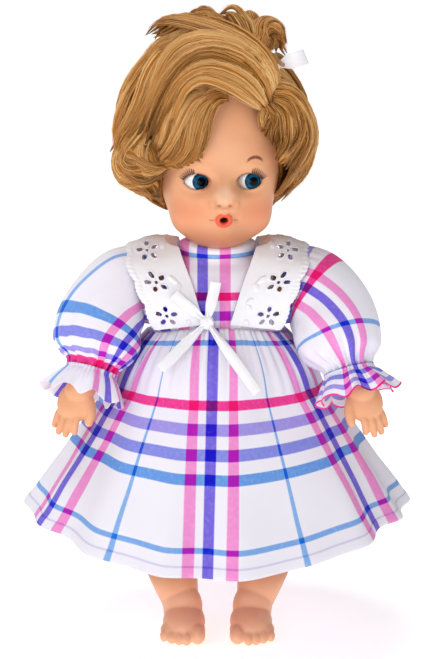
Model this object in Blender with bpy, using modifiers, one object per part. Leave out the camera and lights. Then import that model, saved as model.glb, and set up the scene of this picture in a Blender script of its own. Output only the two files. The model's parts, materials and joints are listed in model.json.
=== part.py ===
"""A standing vinyl baby doll in a plaid dress, with sleep eyes and strung limbs.

Metres, +Z up, soles on the floor, the face looking towards -Y. The doll's own left is +X.
"""

from math import cos, pi, radians, sin, sqrt

import bmesh
import bpy
from mathutils import Matrix, Vector

# Clearances, and how far a cutter reaches past what it cuts
GAP = 0.0003
RUN = 0.0006
OVER = 0.0200

# Heights of the figure
HIP_HEIGHT = 0.110
TORSO_HEIGHT = 0.1035
NECK_LENGTH = 0.0100
HEAD_HEIGHT = 0.1045
HEAD_TURN = radians(5.0)

# Torso
BODY_HALF_WIDTH = 0.0345
BODY_FRONT = 0.0315
BODY_BACK = 0.0280
WALL = 0.0027
NECK_RADIUS = 0.0132
NECK_BORE = 0.0095
FLANGE_LIP = 0.0022
FLANGE_THICKNESS = 0.0020
CROTCH_HALF_WIDTH = 0.0137
CROTCH_ROOM = 0.0078

# Shoulder and hip joints
SHOULDER_DROP = 0.0190
SHOULDER_STEM = 0.0070
HIP_STEM = 0.0065
PLUG_LIP = 0.0024
PLUG_THICKNESS = 0.0021
HIP_LINK_RADIUS = 0.0025
PLUG_ROOT = 0.0040
LEG_ROOM = 0.0204
THIGH_FACE = 0.0250
ARM_ROOM_DEPTH = 0.0160
PLUG_ROOM = 0.0015

# Head
HEAD_HALF_WIDTH = 0.0345
HEAD_FRONT = 0.0400
HEAD_BACK = 0.0400
HEAD_SUNK = 0.0060
SIDE_WALL = 0.0047
FACE_WALL = 0.0065
HOLLOW_BACK = 0.0025
CHIN_REACH = 0.0215
EAR_DROP = 0.0060
EAR_BACK = 0.0040
EAR_SUNK = 0.0019
EAR_SIZE = (0.0035, 0.0062, 0.0085)
EAR_TURN = radians(26.0)
EAR_ROOM = 0.0022
FORM_POWER = 2.3
JAW_TAPER = 0.175
EYE_SPACING = 0.0276
EYE_RADIUS = 0.0085
EYE_DEPTH = 0.0262
EYE_DROP = 0.01145
EYE_OPEN_WIDTH = 0.0132
EYE_OPEN_HEIGHT = 0.0085
LID = 0.0013
IRIS_RADIUS = 0.0042
IRIS_DEPTH = 0.0018
GLANCE = radians(16.0)
AXLE_RADIUS = 0.0010
YOKE_RADIUS = 0.0008
YOKE_DROP = 0.0095
YOKE_REACH = 0.0050
WEIGHT_RADIUS = 0.0045
WEIGHT_LENGTH = 0.0140
BRACKET_WIDTH = 0.0040
BRACKET_HEIGHT = 0.0050
BRACKET_END = 0.0030
LASH_LENGTH = 0.0034
MOUTH_DROP = 0.0198
MOUTH_WIDTH = 0.0046
MOUTH_TALL = 0.0036
TUBE_RADIUS = 0.0022
TUBE_DROP = 0.0200

# Hair
HAIR_HALF_WIDTH = 0.0552
HAIR_HALF_DEPTH = 0.0540
HAIR_HALF_HEIGHT = 0.0520
HAIR_RISE = 0.0595
HAIR_LEAN = 0.0015
HAIR_BACK = 0.0040
SCALP_GAP = 0.0012
FACE_WINDOW_DEPTH = 0.0080
HAIR_TRIM = 0.0165
HAIR_LOCKS = 13
LOCK_HEIGHT = 0.0012
HAIR_CROWN_POWER = 2.1
HAIR_NAPE_POWER = 2.6
HAIR_BAND_RADIUS = 0.0040
HAIR_BAND_CORD = 0.0011
BOW_KNOT_RADIUS = 0.0030
BOW_LOOP_LENGTH = 0.0140
BOW_LOOP_HEIGHT = 0.0072

# Dress
CLOTH = 0.0014
EASE = 0.0007
SKIRT_HALF_WIDTH = 0.1075
SKIRT_HALF_DEPTH = 0.1000
SKIRT_FOLDS = 14
FOLD_SHARE = 0.085
BODICE_SIDE = 0.0440
BODICE_FRONT = 0.0375
SKIRT_SIDE = 0.0910
SKIRT_FRONT = 0.1155
NECKBAND_RADIUS = 0.0205
NECKBAND_HEIGHT = 0.0058
ARMHOLE_RADIUS = 0.0156
CUFF_RADIUS = 0.0117
CUFF_CORD = 0.0012
RUFFLE_RADIUS = 0.0205
RUFFLE_LENGTH = 0.0078
RUFFLE_WAVES = 9
COLLAR_CLOTH = 0.0009
COLLAR_LIFT = 0.0008
COLLAR_CROWN = 0.0022
RIBBON_WIDTH = 0.0058
RIBBON_CLOTH = 0.0006
KNOT_ASIDE = 0.0055
KNOT_RISE = 0.0075
KNOT_SIZE = (0.0040, 0.0026, 0.0036)

# Derived heights
NECK_FOOT = HIP_HEIGHT + TORSO_HEIGHT
HEAD_BASE = NECK_FOOT + NECK_LENGTH
SHOULDER_HEIGHT = NECK_FOOT - SHOULDER_DROP
WAIST_SIDE = NECK_FOOT - BODICE_SIDE
WAIST_FRONT = NECK_FOOT - BODICE_FRONT
HEM_SIDE = WAIST_SIDE - SKIRT_SIDE
HEM_FRONT = WAIST_FRONT - SKIRT_FRONT
EYE_X = EYE_SPACING / 2
HEAD_MIDDLE = HEAD_HEIGHT / 2 - HEAD_SUNK
EYE_HEIGHT = HEAD_MIDDLE - EYE_DROP
MOUTH_HEIGHT = EYE_HEIGHT - MOUTH_DROP

# Torso outline: height share above the hips, then width, front and back shares
TORSO_FORM = (
    (-0.195, 0.12, 0.14, 0.14),
    (-0.165, 0.46, 0.46, 0.54),
    (-0.080, 0.80, 0.74, 0.90),
    (0.050, 0.99, 0.90, 1.04),
    (0.200, 1.01, 1.00, 1.00),
    (0.340, 1.00, 1.02, 0.94),
    (0.480, 0.98, 0.99, 0.92),
    (0.620, 0.99, 0.96, 0.94),
    (0.760, 1.00, 0.90, 0.95),
    (0.870, 1.00, 0.82, 0.90),
    (0.930, 0.93, 0.74, 0.84),
    (0.970, 0.74, 0.63, 0.72),
)

# Face forms: place sideways, forward and below the eyes, heading, height and reach
FACE_FORMS = (
    ((0.0190, -0.0250, 0.0178), (0.6, -0.7, -0.2), 0.0034, 0.0140),
    ((0.0180, -0.0220, 0.0262), (0.8, -0.4, -0.3), 0.0030, 0.0100),
    ((0.0000, -0.0275, 0.0288), (0.0, -0.9, -0.35), 0.0062, 0.0100),
    ((0.0000, -0.0350, 0.0188), (0.0, -1.0, 0.0), 0.0034, 0.0090),
    ((0.0000, -0.0385, 0.0086), (0.0, -1.0, 0.1), 0.0068, 0.0056),
    ((0.0046, -0.0395, 0.0100), (0.5, -1.0, 0.0), 0.0018, 0.0034),
)

# Hairline round the face: sideways, and up from the eyes
HAIRLINE = (
    (-0.0310, -0.0648),
    (-0.0310, 0.0052),
    (-0.0205, 0.0072),
    (-0.0105, 0.0127),
    (-0.0100, 0.0322),
    (-0.0020, 0.0417),
    (0.0120, 0.0417),
    (0.0240, 0.0372),
    (0.0280, 0.0262),
    (0.0325, 0.0012),
    (0.0325, -0.0648),
)

# Curls of the topknot: place sideways, back and below the crown, then half sizes
TOPKNOT_CURLS = (
    ((-0.0285, -0.0020, 0.0050), (0.0130, 0.0170, 0.0105)),
    ((-0.0120, 0.0020, 0.0025), (0.0160, 0.0220, 0.0140)),
    ((0.0100, 0.0030, 0.0005), (0.0160, 0.0210, 0.0148)),
    ((0.0270, 0.0100, 0.0085), (0.0120, 0.0150, 0.0150)),
)

# Collar inner edge: past the neckband, depth if it leaves the chest, and rise above the neck's foot
COLLAR_INNER = (
    (-0.0160, None, -0.0345),
    (-0.0120, None, -0.0235),
    (-0.0070, None, -0.0125),
    (-0.0015, -0.0190, 0.0005),
    (0.0019, -0.0040, 0.0055),
    (0.0005, 0.0145, 0.0030),
    (-0.0020, 0.0255, -0.0060),
    (-0.0045, 0.0285, -0.0175),
    (-0.0065, 0.0295, -0.0265),
)

# Collar outer edge: past the body's side, depth, and rise above the neck's foot
COLLAR_OUTER = (
    (-0.0010, -0.0275, -0.0345),
    (0.0030, -0.0285, -0.0255),
    (0.0080, -0.0275, -0.0160),
    (0.0123, -0.0205, -0.0050),
    (0.0140, 0.0000, 0.0015),
    (0.0123, 0.0145, -0.0020),
    (0.0087, 0.0220, -0.0095),
    (0.0045, 0.0260, -0.0185),
    (0.0005, 0.0285, -0.0265),
)

# Ribbon ends: name, reach sideways and up from the knot, and how far the tip stands out
RIBBON_ENDS = (
    ("ribbon_end_upper_right", -0.0180, 0.0150, 0.0000),
    ("ribbon_end_upper_left", 0.0047, 0.0215, 0.0000),
    ("ribbon_end_lower_right", -0.0245, -0.0225, 0.0065),
    ("ribbon_end_lower_left", 0.0265, -0.0335, 0.0125),
)

# Arm stations: past the body's side, back, rise from the shoulder, and radius
ARM_STATIONS = (
    (-0.0020, 0.0000, 0.0000, 0.0104),
    (0.0045, -0.0005, -0.0005, 0.0110),
    (0.0130, -0.0060, -0.0070, 0.0108),
    (0.0230, -0.0150, -0.0200, 0.0101),
    (0.0320, -0.0280, -0.0345, 0.0094),
    (0.0375, -0.0380, -0.0450, 0.0080),
    (0.0400, -0.0425, -0.0520, 0.0078),
)

# Hand: heading of the fingers, way the palm's back faces, and its pieces
HAND_HEADING = (0.42, -0.30, -0.86)
HAND_FACING = (0.30, -0.86, 0.42)
SHOULDER_BALL = 0.0108
PALM_REACH = 0.0085
PALM_SIZE = (0.0108, 0.0060, 0.0105)
FINGER_LENGTHS = (0.0085, 0.0100, 0.0098, 0.0080)
FINGER_FIRST = -0.0070
FINGER_STEP = 0.0050
FINGER_ROOT = 0.0050
FINGER_FAN = 28
FINGER_RADII = (0.0030, 0.0029, 0.0023)
FINGERTIP = 0.0025
FINGER_BEND = (0.0005, 0.0018)
THUMB_ASIDE = (0.0075, 0.0042, 0.0004)
THUMB_DOWN = (0.0005, 0.0045, 0.0058)
THUMB_RADII = (0.0036, 0.0032, 0.0025)
THUMBTIP = 0.0027

# Sleeve stations: past the armhole, back, rise from the shoulder, radius, fold share and heading
SLEEVE_STATIONS = (
    (0.0000, 0.0000, 0.0000, ARMHOLE_RADIUS - CLOTH / 2, 0.00, (1.00, 0.00, 0.00)),
    (0.0060, -0.0010, 0.0000, ARMHOLE_RADIUS + 0.0016, 0.02, (1.00, -0.10, -0.15)),
    (0.0125, -0.0055, -0.0058, 0.0196, 0.03, (0.80, -0.35, -0.50)),
    (0.0220, -0.0135, -0.0130, 0.0222, 0.03, (0.55, -0.50, -0.67)),
    (0.0290, -0.0220, -0.0235, 0.0224, 0.03, (0.42, -0.55, -0.72)),
    (0.0335, -0.0320, -0.0335, 0.0188, 0.04, (0.32, -0.50, -0.80)),
)
CUFF_FROM_WRIST = (-0.0030, 0.0060, 0.0085)
CUFF_GATHER = (-0.0008, 0.0016, 0.0035)
GATHER_RADIUS = 0.0138
GATHER_FOLD = 0.05
GATHER_HEADING = (0.26, -0.42, -0.87)
CUFF_HEADING = (0.25, -0.36, -0.90)
SLEEVE_FOLDS = 6
RUFFLE_FOLD = 0.10
RUFFLE_RIPPLE = 0.0012

# Leg stations: out from the inner face, back, share of the hip height, and radius
LEG_STATIONS = (
    (0.0170, 0.0000, 1.00, 0.0174),
    (0.0168, -0.0005, 0.82, 0.0176),
    (0.0155, -0.0015, 0.62, 0.0160),
    (0.0145, -0.0005, 0.50, 0.0150),
    (0.0128, 0.0015, 0.37, 0.0149),
    (0.0095, 0.0025, 0.24, 0.0128),
    (0.0070, 0.0030, 0.14, 0.0106),
    (0.0062, 0.0030, 0.07, 0.0102),
)

# Foot: places from the ankle's middle, and half sizes
ANKLE_OUT = 0.0058
HEEL_PLACE = (0.0000, 0.0055, 0.0085)
HEEL_RADIUS = 0.0098
FOOT_PLACE = (-0.0012, -0.0105, 0.0078)
FOOT_SIZE = (0.0120, 0.0200, 0.0092)
GREAT_TOE_PLACE = (-0.0092, -0.0270, 0.0056)
GREAT_TOE_SIZE = (0.0043, 0.0072, 0.0052)
TOE_PLACE = (-0.0030, -0.0300, 0.0046)
TOE_STEP = 0.0043
TOE_CURVE = 0.0006
TOE_RADIUS = 0.0033
TOE_SHRINK = 0.0001
TOE_STRETCH = (0.85, 1.5, 1.2)

# Where the hair is tied, and how the bow and the ribbon ends lie
TIE_WAY = (0.56, -0.42, 0.68)
BOW_WAY = (1.00, 0.00, 0.12)
BOW_ACROSS = (-0.25, 0.10, 1.00)
RIBBON_PINCH = 0.62
RIBBON_OPENS = 0.40
RIBBON_SINK = 0.0020

VINYL = (0.80, 0.50, 0.34)
HAIR_BLOND = (0.52, 0.29, 0.08)
WHITE_CLOTH = (0.85, 0.83, 0.88)
PLAID_CLOTH = (0.72, 0.62, 0.86)
SATIN = (0.88, 0.88, 0.90)
IRIS_BLUE = (0.02, 0.16, 0.34)
EYE_WHITE = (0.85, 0.84, 0.82)
LASH_BLACK = (0.01, 0.01, 0.01)
LEAD_GREY = (0.22, 0.22, 0.24)
STEEL_GREY = (0.55, 0.55, 0.56)
RUBBER = (0.60, 0.52, 0.42)
CLEAR_TUBE = (0.75, 0.75, 0.70)


def clear_scene():
    """Empty the scene and make one collection for the parts and one for shapes in the making."""
    for item in list(bpy.data.objects):
        bpy.data.objects.remove(item, do_unlink=True)
    for name in ("Baby doll", "Scratch"):
        group = bpy.data.collections.new(name)
        bpy.context.scene.collection.children.link(group)


def place(name, mesh, group="Baby doll"):
    """Wrap a mesh or curve in a named object of the group."""
    item = bpy.data.objects.new(name, mesh)
    bpy.data.collections[group].objects.link(item)
    return item


def to_mesh(name, shape):
    """Turn a finished bmesh into mesh data with outward faces."""
    bmesh.ops.recalc_face_normals(shape, faces=shape.faces)
    mesh = bpy.data.meshes.new(name)
    shape.to_mesh(mesh)
    shape.free()
    return mesh


def bake(item, outward=True):
    """Replace an object's data by its evaluated mesh, in triangles."""
    bpy.context.view_layer.update()
    seen = item.evaluated_get(bpy.context.evaluated_depsgraph_get())
    mesh = bpy.data.meshes.new_from_object(seen)
    item.modifiers.clear()
    if item.type == "CURVE":
        fresh = place(item.name + "_mesh", mesh, item.users_collection[0].name)
        fresh.matrix_world = item.matrix_world
        name = item.name
        bpy.data.objects.remove(item, do_unlink=True)
        fresh.name = name
        item = fresh
    else:
        item.data = mesh
    shape = bmesh.new()
    shape.from_mesh(item.data)
    bmesh.ops.remove_doubles(shape, verts=shape.verts, dist=0.000001)
    bmesh.ops.triangulate(shape, faces=shape.faces)
    if outward:
        bmesh.ops.recalc_face_normals(shape, faces=shape.faces)
    shape.to_mesh(item.data)
    shape.free()
    return item


def dress(item, colour, roughness, parent=None, metallic=0.0):
    """Give a part its own material, its name on the mesh and its parent."""
    skin = bpy.data.materials.new(item.name)
    skin.use_nodes = True
    shader = skin.node_tree.nodes["Principled BSDF"]
    shader.inputs["Base Color"].default_value = (*colour, 1.0)
    shader.inputs["Roughness"].default_value = roughness
    shader.inputs["Metallic"].default_value = metallic
    item.data.materials.clear()
    item.data.materials.append(skin)
    if parent:
        item.parent = parent
    return item


def combine(item, other, operation):
    """Cut away or add a second solid, which is then dropped."""
    step = item.modifiers.new(operation.lower(), "BOOLEAN")
    step.operation = operation
    step.solver = "EXACT"
    step.object = other
    bake(item, outward=False)
    bpy.data.objects.remove(other, do_unlink=True)
    return item


def cut(item, other):
    """Cut a second solid out of the first."""
    return combine(item, other, "DIFFERENCE")


def merge(item, other):
    """Unite a second solid with the first."""
    return combine(item, other, "UNION")


def loft(name, rings, closed=True, group="Baby doll"):
    """Skin a row of equal rings of points, closing the ends if asked."""
    shape = bmesh.new()
    slot = shape.verts.layers.int.new("slot")
    start = bmesh.ops.create_circle(shape, segments=len(rings[0]), radius=1.0)["verts"]
    for index, corner in enumerate(start):
        corner[slot] = index
        corner.co = rings[0][index]
    edges = list(shape.edges)
    first = list(edges)
    for ring in rings[1:]:
        grown = bmesh.ops.extrude_edge_only(shape, edges=edges)["geom"]
        for corner in (part for part in grown if isinstance(part, bmesh.types.BMVert)):
            corner.co = ring[corner[slot]]
        edges = [
            edge
            for edge in grown
            if isinstance(edge, bmesh.types.BMEdge) and len(edge.link_faces) == 1
        ]
    if closed:
        for rim in (first, edges):
            bmesh.ops.edgeloop_fill(shape, edges=rim)
    return place(name, to_mesh(name, shape), group)


def sheet(name, rows, thickness, group="Baby doll"):
    """Make a thin solid from a grid of points, given as rows."""
    shape = bmesh.new()
    wide, tall = len(rows[0]), len(rows)
    bmesh.ops.create_grid(shape, x_segments=wide - 1, y_segments=tall - 1, size=1.0)
    for corner in shape.verts:
        column = round((corner.co.x + 1) / 2 * (wide - 1))
        row = round((corner.co.y + 1) / 2 * (tall - 1))
        corner.co = rows[row][column]
    item = place(name, to_mesh(name, shape), group)
    return thicken(item, thickness)


def thicken(item, thickness):
    """Give an open surface an even wall, half to each side."""
    wall = item.modifiers.new("wall", "SOLIDIFY")
    wall.thickness = thickness
    wall.offset = 0.0
    return bake(item)


def ball(name, centre, radii, segments=24, rings=14, group="Scratch"):
    """Make an ellipsoid."""
    shape = bmesh.new()
    bmesh.ops.create_uvsphere(shape, u_segments=segments, v_segments=rings, radius=1.0)
    bmesh.ops.transform(shape, matrix=Matrix.Diagonal((*radii, 1.0)), verts=shape.verts)
    bmesh.ops.translate(shape, vec=Vector(centre), verts=shape.verts)
    return place(name, to_mesh(name, shape), group)


def block(name, low, high, group="Scratch"):
    """Make a box between two corners."""
    low, high = Vector(low), Vector(high)
    shape = bmesh.new()
    bmesh.ops.create_cube(shape, size=1.0)
    bmesh.ops.transform(shape, matrix=Matrix.Diagonal((*(high - low), 1.0)), verts=shape.verts)
    bmesh.ops.translate(shape, vec=(low + high) / 2, verts=shape.verts)
    return place(name, to_mesh(name, shape), group)


def turned(name, profile, steps, group="Scratch"):
    """Turn a profile of (radius, height) points about Z with a Screw modifier."""
    shape = bmesh.new()
    corners = [shape.verts.new((radius, 0.0, height)) for radius, height in profile]
    for upper, lower in zip(corners, corners[1:]):
        shape.edges.new((upper, lower))
    mesh = bpy.data.meshes.new(name)
    shape.to_mesh(mesh)
    shape.free()
    item = place(name, mesh, group)
    lathe = item.modifiers.new("lathe", "SCREW")
    lathe.steps = steps
    lathe.render_steps = steps
    lathe.use_merge_vertices = True
    lathe.merge_threshold = 0.00001
    return bake(item)


def along_x(item, centre, side=1):
    """Lay a turned piece along X with its top towards the given side."""
    item.data.transform(Matrix.Rotation(side * pi / 2, 4, "Y"))
    item.data.transform(Matrix.Translation(Vector(centre)))
    return item


def pin(name, start, end, radius, steps=16, group="Scratch"):
    """Make a plain cylinder along X between two positions of one axis."""
    start, end = Vector(start), Vector(end)
    half = abs(end.x - start.x) / 2
    profile = ((0.0, half), (radius, half), (radius, -half), (0.0, -half))
    return along_x(turned(name, profile, steps, group), (start + end) / 2)


def wire(name, points, radius, sides=2, group="Baby doll"):
    """Make a round bar along a smooth line of points."""
    line = bpy.data.curves.new(name, "CURVE")
    line.dimensions = "3D"
    line.bevel_depth = radius
    line.bevel_resolution = sides
    line.resolution_u = 2
    line.use_fill_caps = True
    spline = line.splines.new("NURBS")
    spline.points.add(len(points) - 1)
    for knot, point in zip(spline.points, points):
        knot.co = (*point, 1.0)
    spline.order_u = 3
    spline.use_endpoint_u = True
    return bake(place(name, line, group))


def hoop(name, centre, radius, cord, axis, around=24, across=8, group="Baby doll"):
    """Make a round ring of cord about an axis."""
    axis = Vector(axis).normalized()
    turn = axis.to_track_quat("Z", "Y").to_matrix()
    shape = bmesh.new()
    start = Vector((radius, 0.0, 0.0))
    upright = Matrix.Translation(start) @ Matrix.Rotation(pi / 2, 4, "X")
    bmesh.ops.create_circle(shape, segments=across, radius=cord, matrix=upright)
    bmesh.ops.spin(
        shape,
        geom=list(shape.edges),
        axis=(0, 0, 1),
        cent=(0, 0, 0),
        angle=2 * pi,
        steps=around,
        use_merge=True,
    )
    bmesh.ops.remove_doubles(shape, verts=shape.verts, dist=0.00001)
    bmesh.ops.transform(shape, matrix=Matrix.Translation(Vector(centre)) @ turn.to_4x4(), verts=shape.verts)
    return place(name, to_mesh(name, shape), group)


def circle_about(centre, axis, radius, count, up):
    """Points of a circle about an axis, counted from the up direction."""
    axis = Vector(axis).normalized()
    side = axis.cross(Vector(up)).normalized()
    top = side.cross(axis).normalized()
    centre = Vector(centre)
    angles = [2 * pi * k / count for k in range(count)]
    return [centre + radius * (top * cos(angle) + side * sin(angle)) for angle in angles]


def limb(name, path, count=14):
    """Make a tapered limb from (point, radius) stations."""
    rings = []
    for index, (point, radius) in enumerate(path):
        before = Vector(path[max(index - 1, 0)][0])
        after = Vector(path[min(index + 1, len(path) - 1)][0])
        rings.append(circle_about(point, after - before, radius, count, (0, 1, 0.01)))
    return loft(name, rings, group="Scratch")


def flesh(name, lumps, voxel, rounds, triangles):
    """Blend overlapping lumps into one smooth skin of about the given triangle count."""
    shape = bmesh.new()
    for lump in lumps:
        shape.from_mesh(lump.data)
        bpy.data.objects.remove(lump, do_unlink=True)
    item = place(name, to_mesh(name, shape))
    skin = item.modifiers.new("skin", "REMESH")
    skin.mode = "VOXEL"
    skin.voxel_size = voxel
    soften = item.modifiers.new("soften", "SMOOTH")
    soften.factor = 0.5
    soften.iterations = rounds
    return thin_out(bake(item), triangles)


def thin_out(item, triangles):
    """Spend the triangles where the form bends most, keeping about the given count."""
    bake(item, outward=False)
    if len(item.data.polygons) > triangles:
        thin = item.modifiers.new("thin", "DECIMATE")
        thin.ratio = triangles / len(item.data.polygons)
        bake(item, outward=False)
    return item


def torso_size(height):
    """Half width, front and back of the bare torso at a height above the floor."""
    share = (height - HIP_HEIGHT) / TORSO_HEIGHT
    for low, high in zip(TORSO_FORM, TORSO_FORM[1:]):
        if share <= high[0]:
            break
    mix = min(max((share - low[0]) / (high[0] - low[0]), 0.0), 1.0)
    width, front, back = (a + (b - a) * mix for a, b in zip(low[1:], high[1:]))
    return BODY_HALF_WIDTH * width, BODY_FRONT * front, BODY_BACK * back


def oval(height, grow, count):
    """A ring round the torso at a height, grown by a distance."""
    width, front, back = torso_size(height)
    ring = []
    for k in range(count):
        angle = 2 * pi * k / count
        depth = back if sin(angle) > 0 else front
        ring.append(Vector(((width + grow) * cos(angle), (depth + grow) * sin(angle), height)))
    return ring


def chest_y(x, height, grow, back=False):
    """Depth of the torso's front or back surface at a place, grown by a distance."""
    width, front, rear = torso_size(height)
    share = min(abs(x) / (width + grow), 0.98)
    depth = sqrt(1 - share * share)
    return (rear + grow) * depth if back else -(front + grow) * depth


def plug(name, face, inner, stem, side, height):
    """A stem through a socket wall with a wider lip inside, for a limb's end."""
    root = face + PLUG_ROOT
    lip = stem + PLUG_LIP
    lip_end = inner - RUN
    profile = (
        (0.0, root),
        (stem, root),
        (stem, lip_end),
        (lip, lip_end),
        (lip, lip_end - PLUG_THICKNESS),
        (0.0, lip_end - PLUG_THICKNESS),
    )
    return along_x(turned(name, profile, 18), (0.0, 0.0, height), side)


def make_torso():
    """Hollow torso with a flanged neck, shoulder sockets and a narrow crotch between the legs."""
    count = 24
    rings = [oval(HIP_HEIGHT + TORSO_HEIGHT * row[0], 0.0, count) for row in TORSO_FORM]
    flange = NECK_RADIUS + FLANGE_LIP
    seat = HEAD_BASE + WALL + RUN
    for radius, height in (
        (NECK_RADIUS, NECK_FOOT),
        (NECK_RADIUS, seat),
        (flange, seat + 0.0002),
        (flange, seat + FLANGE_THICKNESS),
    ):
        rings.append(circle_about((0, 0, height), (0, 0, 1), radius, count, (1, 0, 0)))
    torso = loft("torso", rings)
    far = BODY_HALF_WIDTH + OVER
    arc = [(LEG_ROOM * cos(pi * k / 16), LEG_ROOM * sin(pi * k / 16)) for k in range(9)]
    outline = [(far, 0.0), *arc, (-far, LEG_ROOM), (-far, -far), (far, -far)]
    for side in (1, -1):
        ends = [
            [Vector((side * x, y, HIP_HEIGHT + rise)) for y, rise in outline]
            for x in (CROTCH_HALF_WIDTH, far)
        ]
        cut(torso, loft("leg_room", ends, group="Scratch"))
    hollow = [oval(HIP_HEIGHT + TORSO_HEIGHT * row[0], -WALL, 20) for row in TORSO_FORM[5:]]
    hollow.append(circle_about((0, 0, NECK_FOOT), (0, 0, 1), NECK_BORE, 20, (1, 0, 0)))
    hollow.append(circle_about((0, 0, seat + 0.01), (0, 0, 1), NECK_BORE, 20, (1, 0, 0)))
    cut(torso, loft("chest_hollow", hollow))
    inner = CROTCH_HALF_WIDTH - WALL
    low = HIP_HEIGHT - HIP_STEM - PLUG_LIP - WALL
    top = HIP_HEIGHT + TORSO_HEIGHT * TORSO_FORM[5][0] + WALL
    depth = HIP_STEM + PLUG_LIP + CROTCH_ROOM
    cut(torso, block("crotch_hollow", (-inner, -depth, low), (inner, depth, top)))
    thin_out(torso, 760)
    hole = pin("hip_hole", (-far, 0, HIP_HEIGHT), (far, 0, HIP_HEIGHT), HIP_STEM + RUN, 18)
    cut(torso, hole)
    face = BODY_HALF_WIDTH - RUN
    deep = BODY_HALF_WIDTH - ARM_ROOM_DEPTH
    room = SHOULDER_STEM + PLUG_LIP + PLUG_ROOM
    stem = SHOULDER_STEM + RUN
    socket = (
        (0, far),
        (room + WALL, far),
        (room + WALL, face),
        (stem, face),
        (stem, face - WALL),
        (room, face - WALL),
        (room, deep),
        (0, deep),
    )
    for side in (1, -1):
        seat_cut = along_x(turned("arm_socket", socket, 20), (0, 0, SHOULDER_HEIGHT), side)
        cut(torso, seat_cut)
    dress(torso, VINYL, 0.45)


def skull_point(direction, grow=0.0):
    """The plain head form, without features, in the head's own frame."""
    x, y, z = direction
    flat = sqrt(x * x + y * y)
    round_off = (abs(x) ** FORM_POWER + abs(y) ** FORM_POWER) ** (1 / FORM_POWER)
    swell = (abs(flat) ** FORM_POWER + abs(z) ** FORM_POWER) ** (1 / FORM_POWER)
    stretch = flat / round_off if round_off > 0.000001 else 1.0
    jaw = 1 - JAW_TAPER * max(-z / swell, 0.0)
    half = (HEAD_HEIGHT / 2) + grow
    depth = HEAD_FRONT if y < 0 else HEAD_BACK
    return Vector((
        x * stretch / swell * (HEAD_HALF_WIDTH * jaw + grow),
        y * stretch / swell * (depth + grow),
        HEAD_HEIGHT / 2 - HEAD_SUNK + z / swell * half,
    ))


def push(point, centre, direction, amount, reach):
    """Move a point along a direction, fading with distance from a centre."""
    away = (point - Vector(centre)).length / reach
    return point + Vector(direction).normalized() * amount * 2.718281828 ** (-away * away)


def smooth_step(value):
    """Ease a value from nought to one."""
    value = min(max(value, 0.0), 1.0)
    return value * value * (3 - 2 * value)


def face_point(point):
    """Model the chin, cheeks, nose, lips and eyelids on the plain head form."""
    for place, heading, amount, reach in FACE_FORMS:
        for side in (1, -1) if place[0] else (1,):
            centre = (side * place[0], place[1], EYE_HEIGHT - place[2])
            point = push(point, centre, (side * heading[0], *heading[1:]), amount, reach)
    for side in (1, -1):
        eye = Vector((side * EYE_X, -EYE_DEPTH, EYE_HEIGHT))
        away = sqrt(((point.x - eye.x) / 1.25) ** 2 + (point.z - eye.z) ** 2)
        if point.y < 0 and away < 0.011:
            held = smooth_step((0.011 - away) / 0.0045)
            rest = eye + (point - eye).normalized() * (EYE_RADIUS + LID)
            point = point.lerp(rest, held)
    return point


def ear_place(side):
    """Middle of an ear, in the head's own frame."""
    return Vector((side * (HEAD_HALF_WIDTH - EAR_SUNK), EAR_BACK, EYE_HEIGHT - EAR_DROP))


def hollow_sizes():
    """Half sizes of the hollow inside the head."""
    return HEAD_HALF_WIDTH - SIDE_WALL, HEAD_FRONT - FACE_WALL, HEAD_MIDDLE - WALL


def hollow_front(height):
    """Depth of the head hollow's front wall at a height of the head's own frame."""
    _, depth, tall = hollow_sizes()
    share = (height - HEAD_MIDDLE) / tall
    return HOLLOW_BACK - depth * sqrt(1 - share * share)


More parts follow.
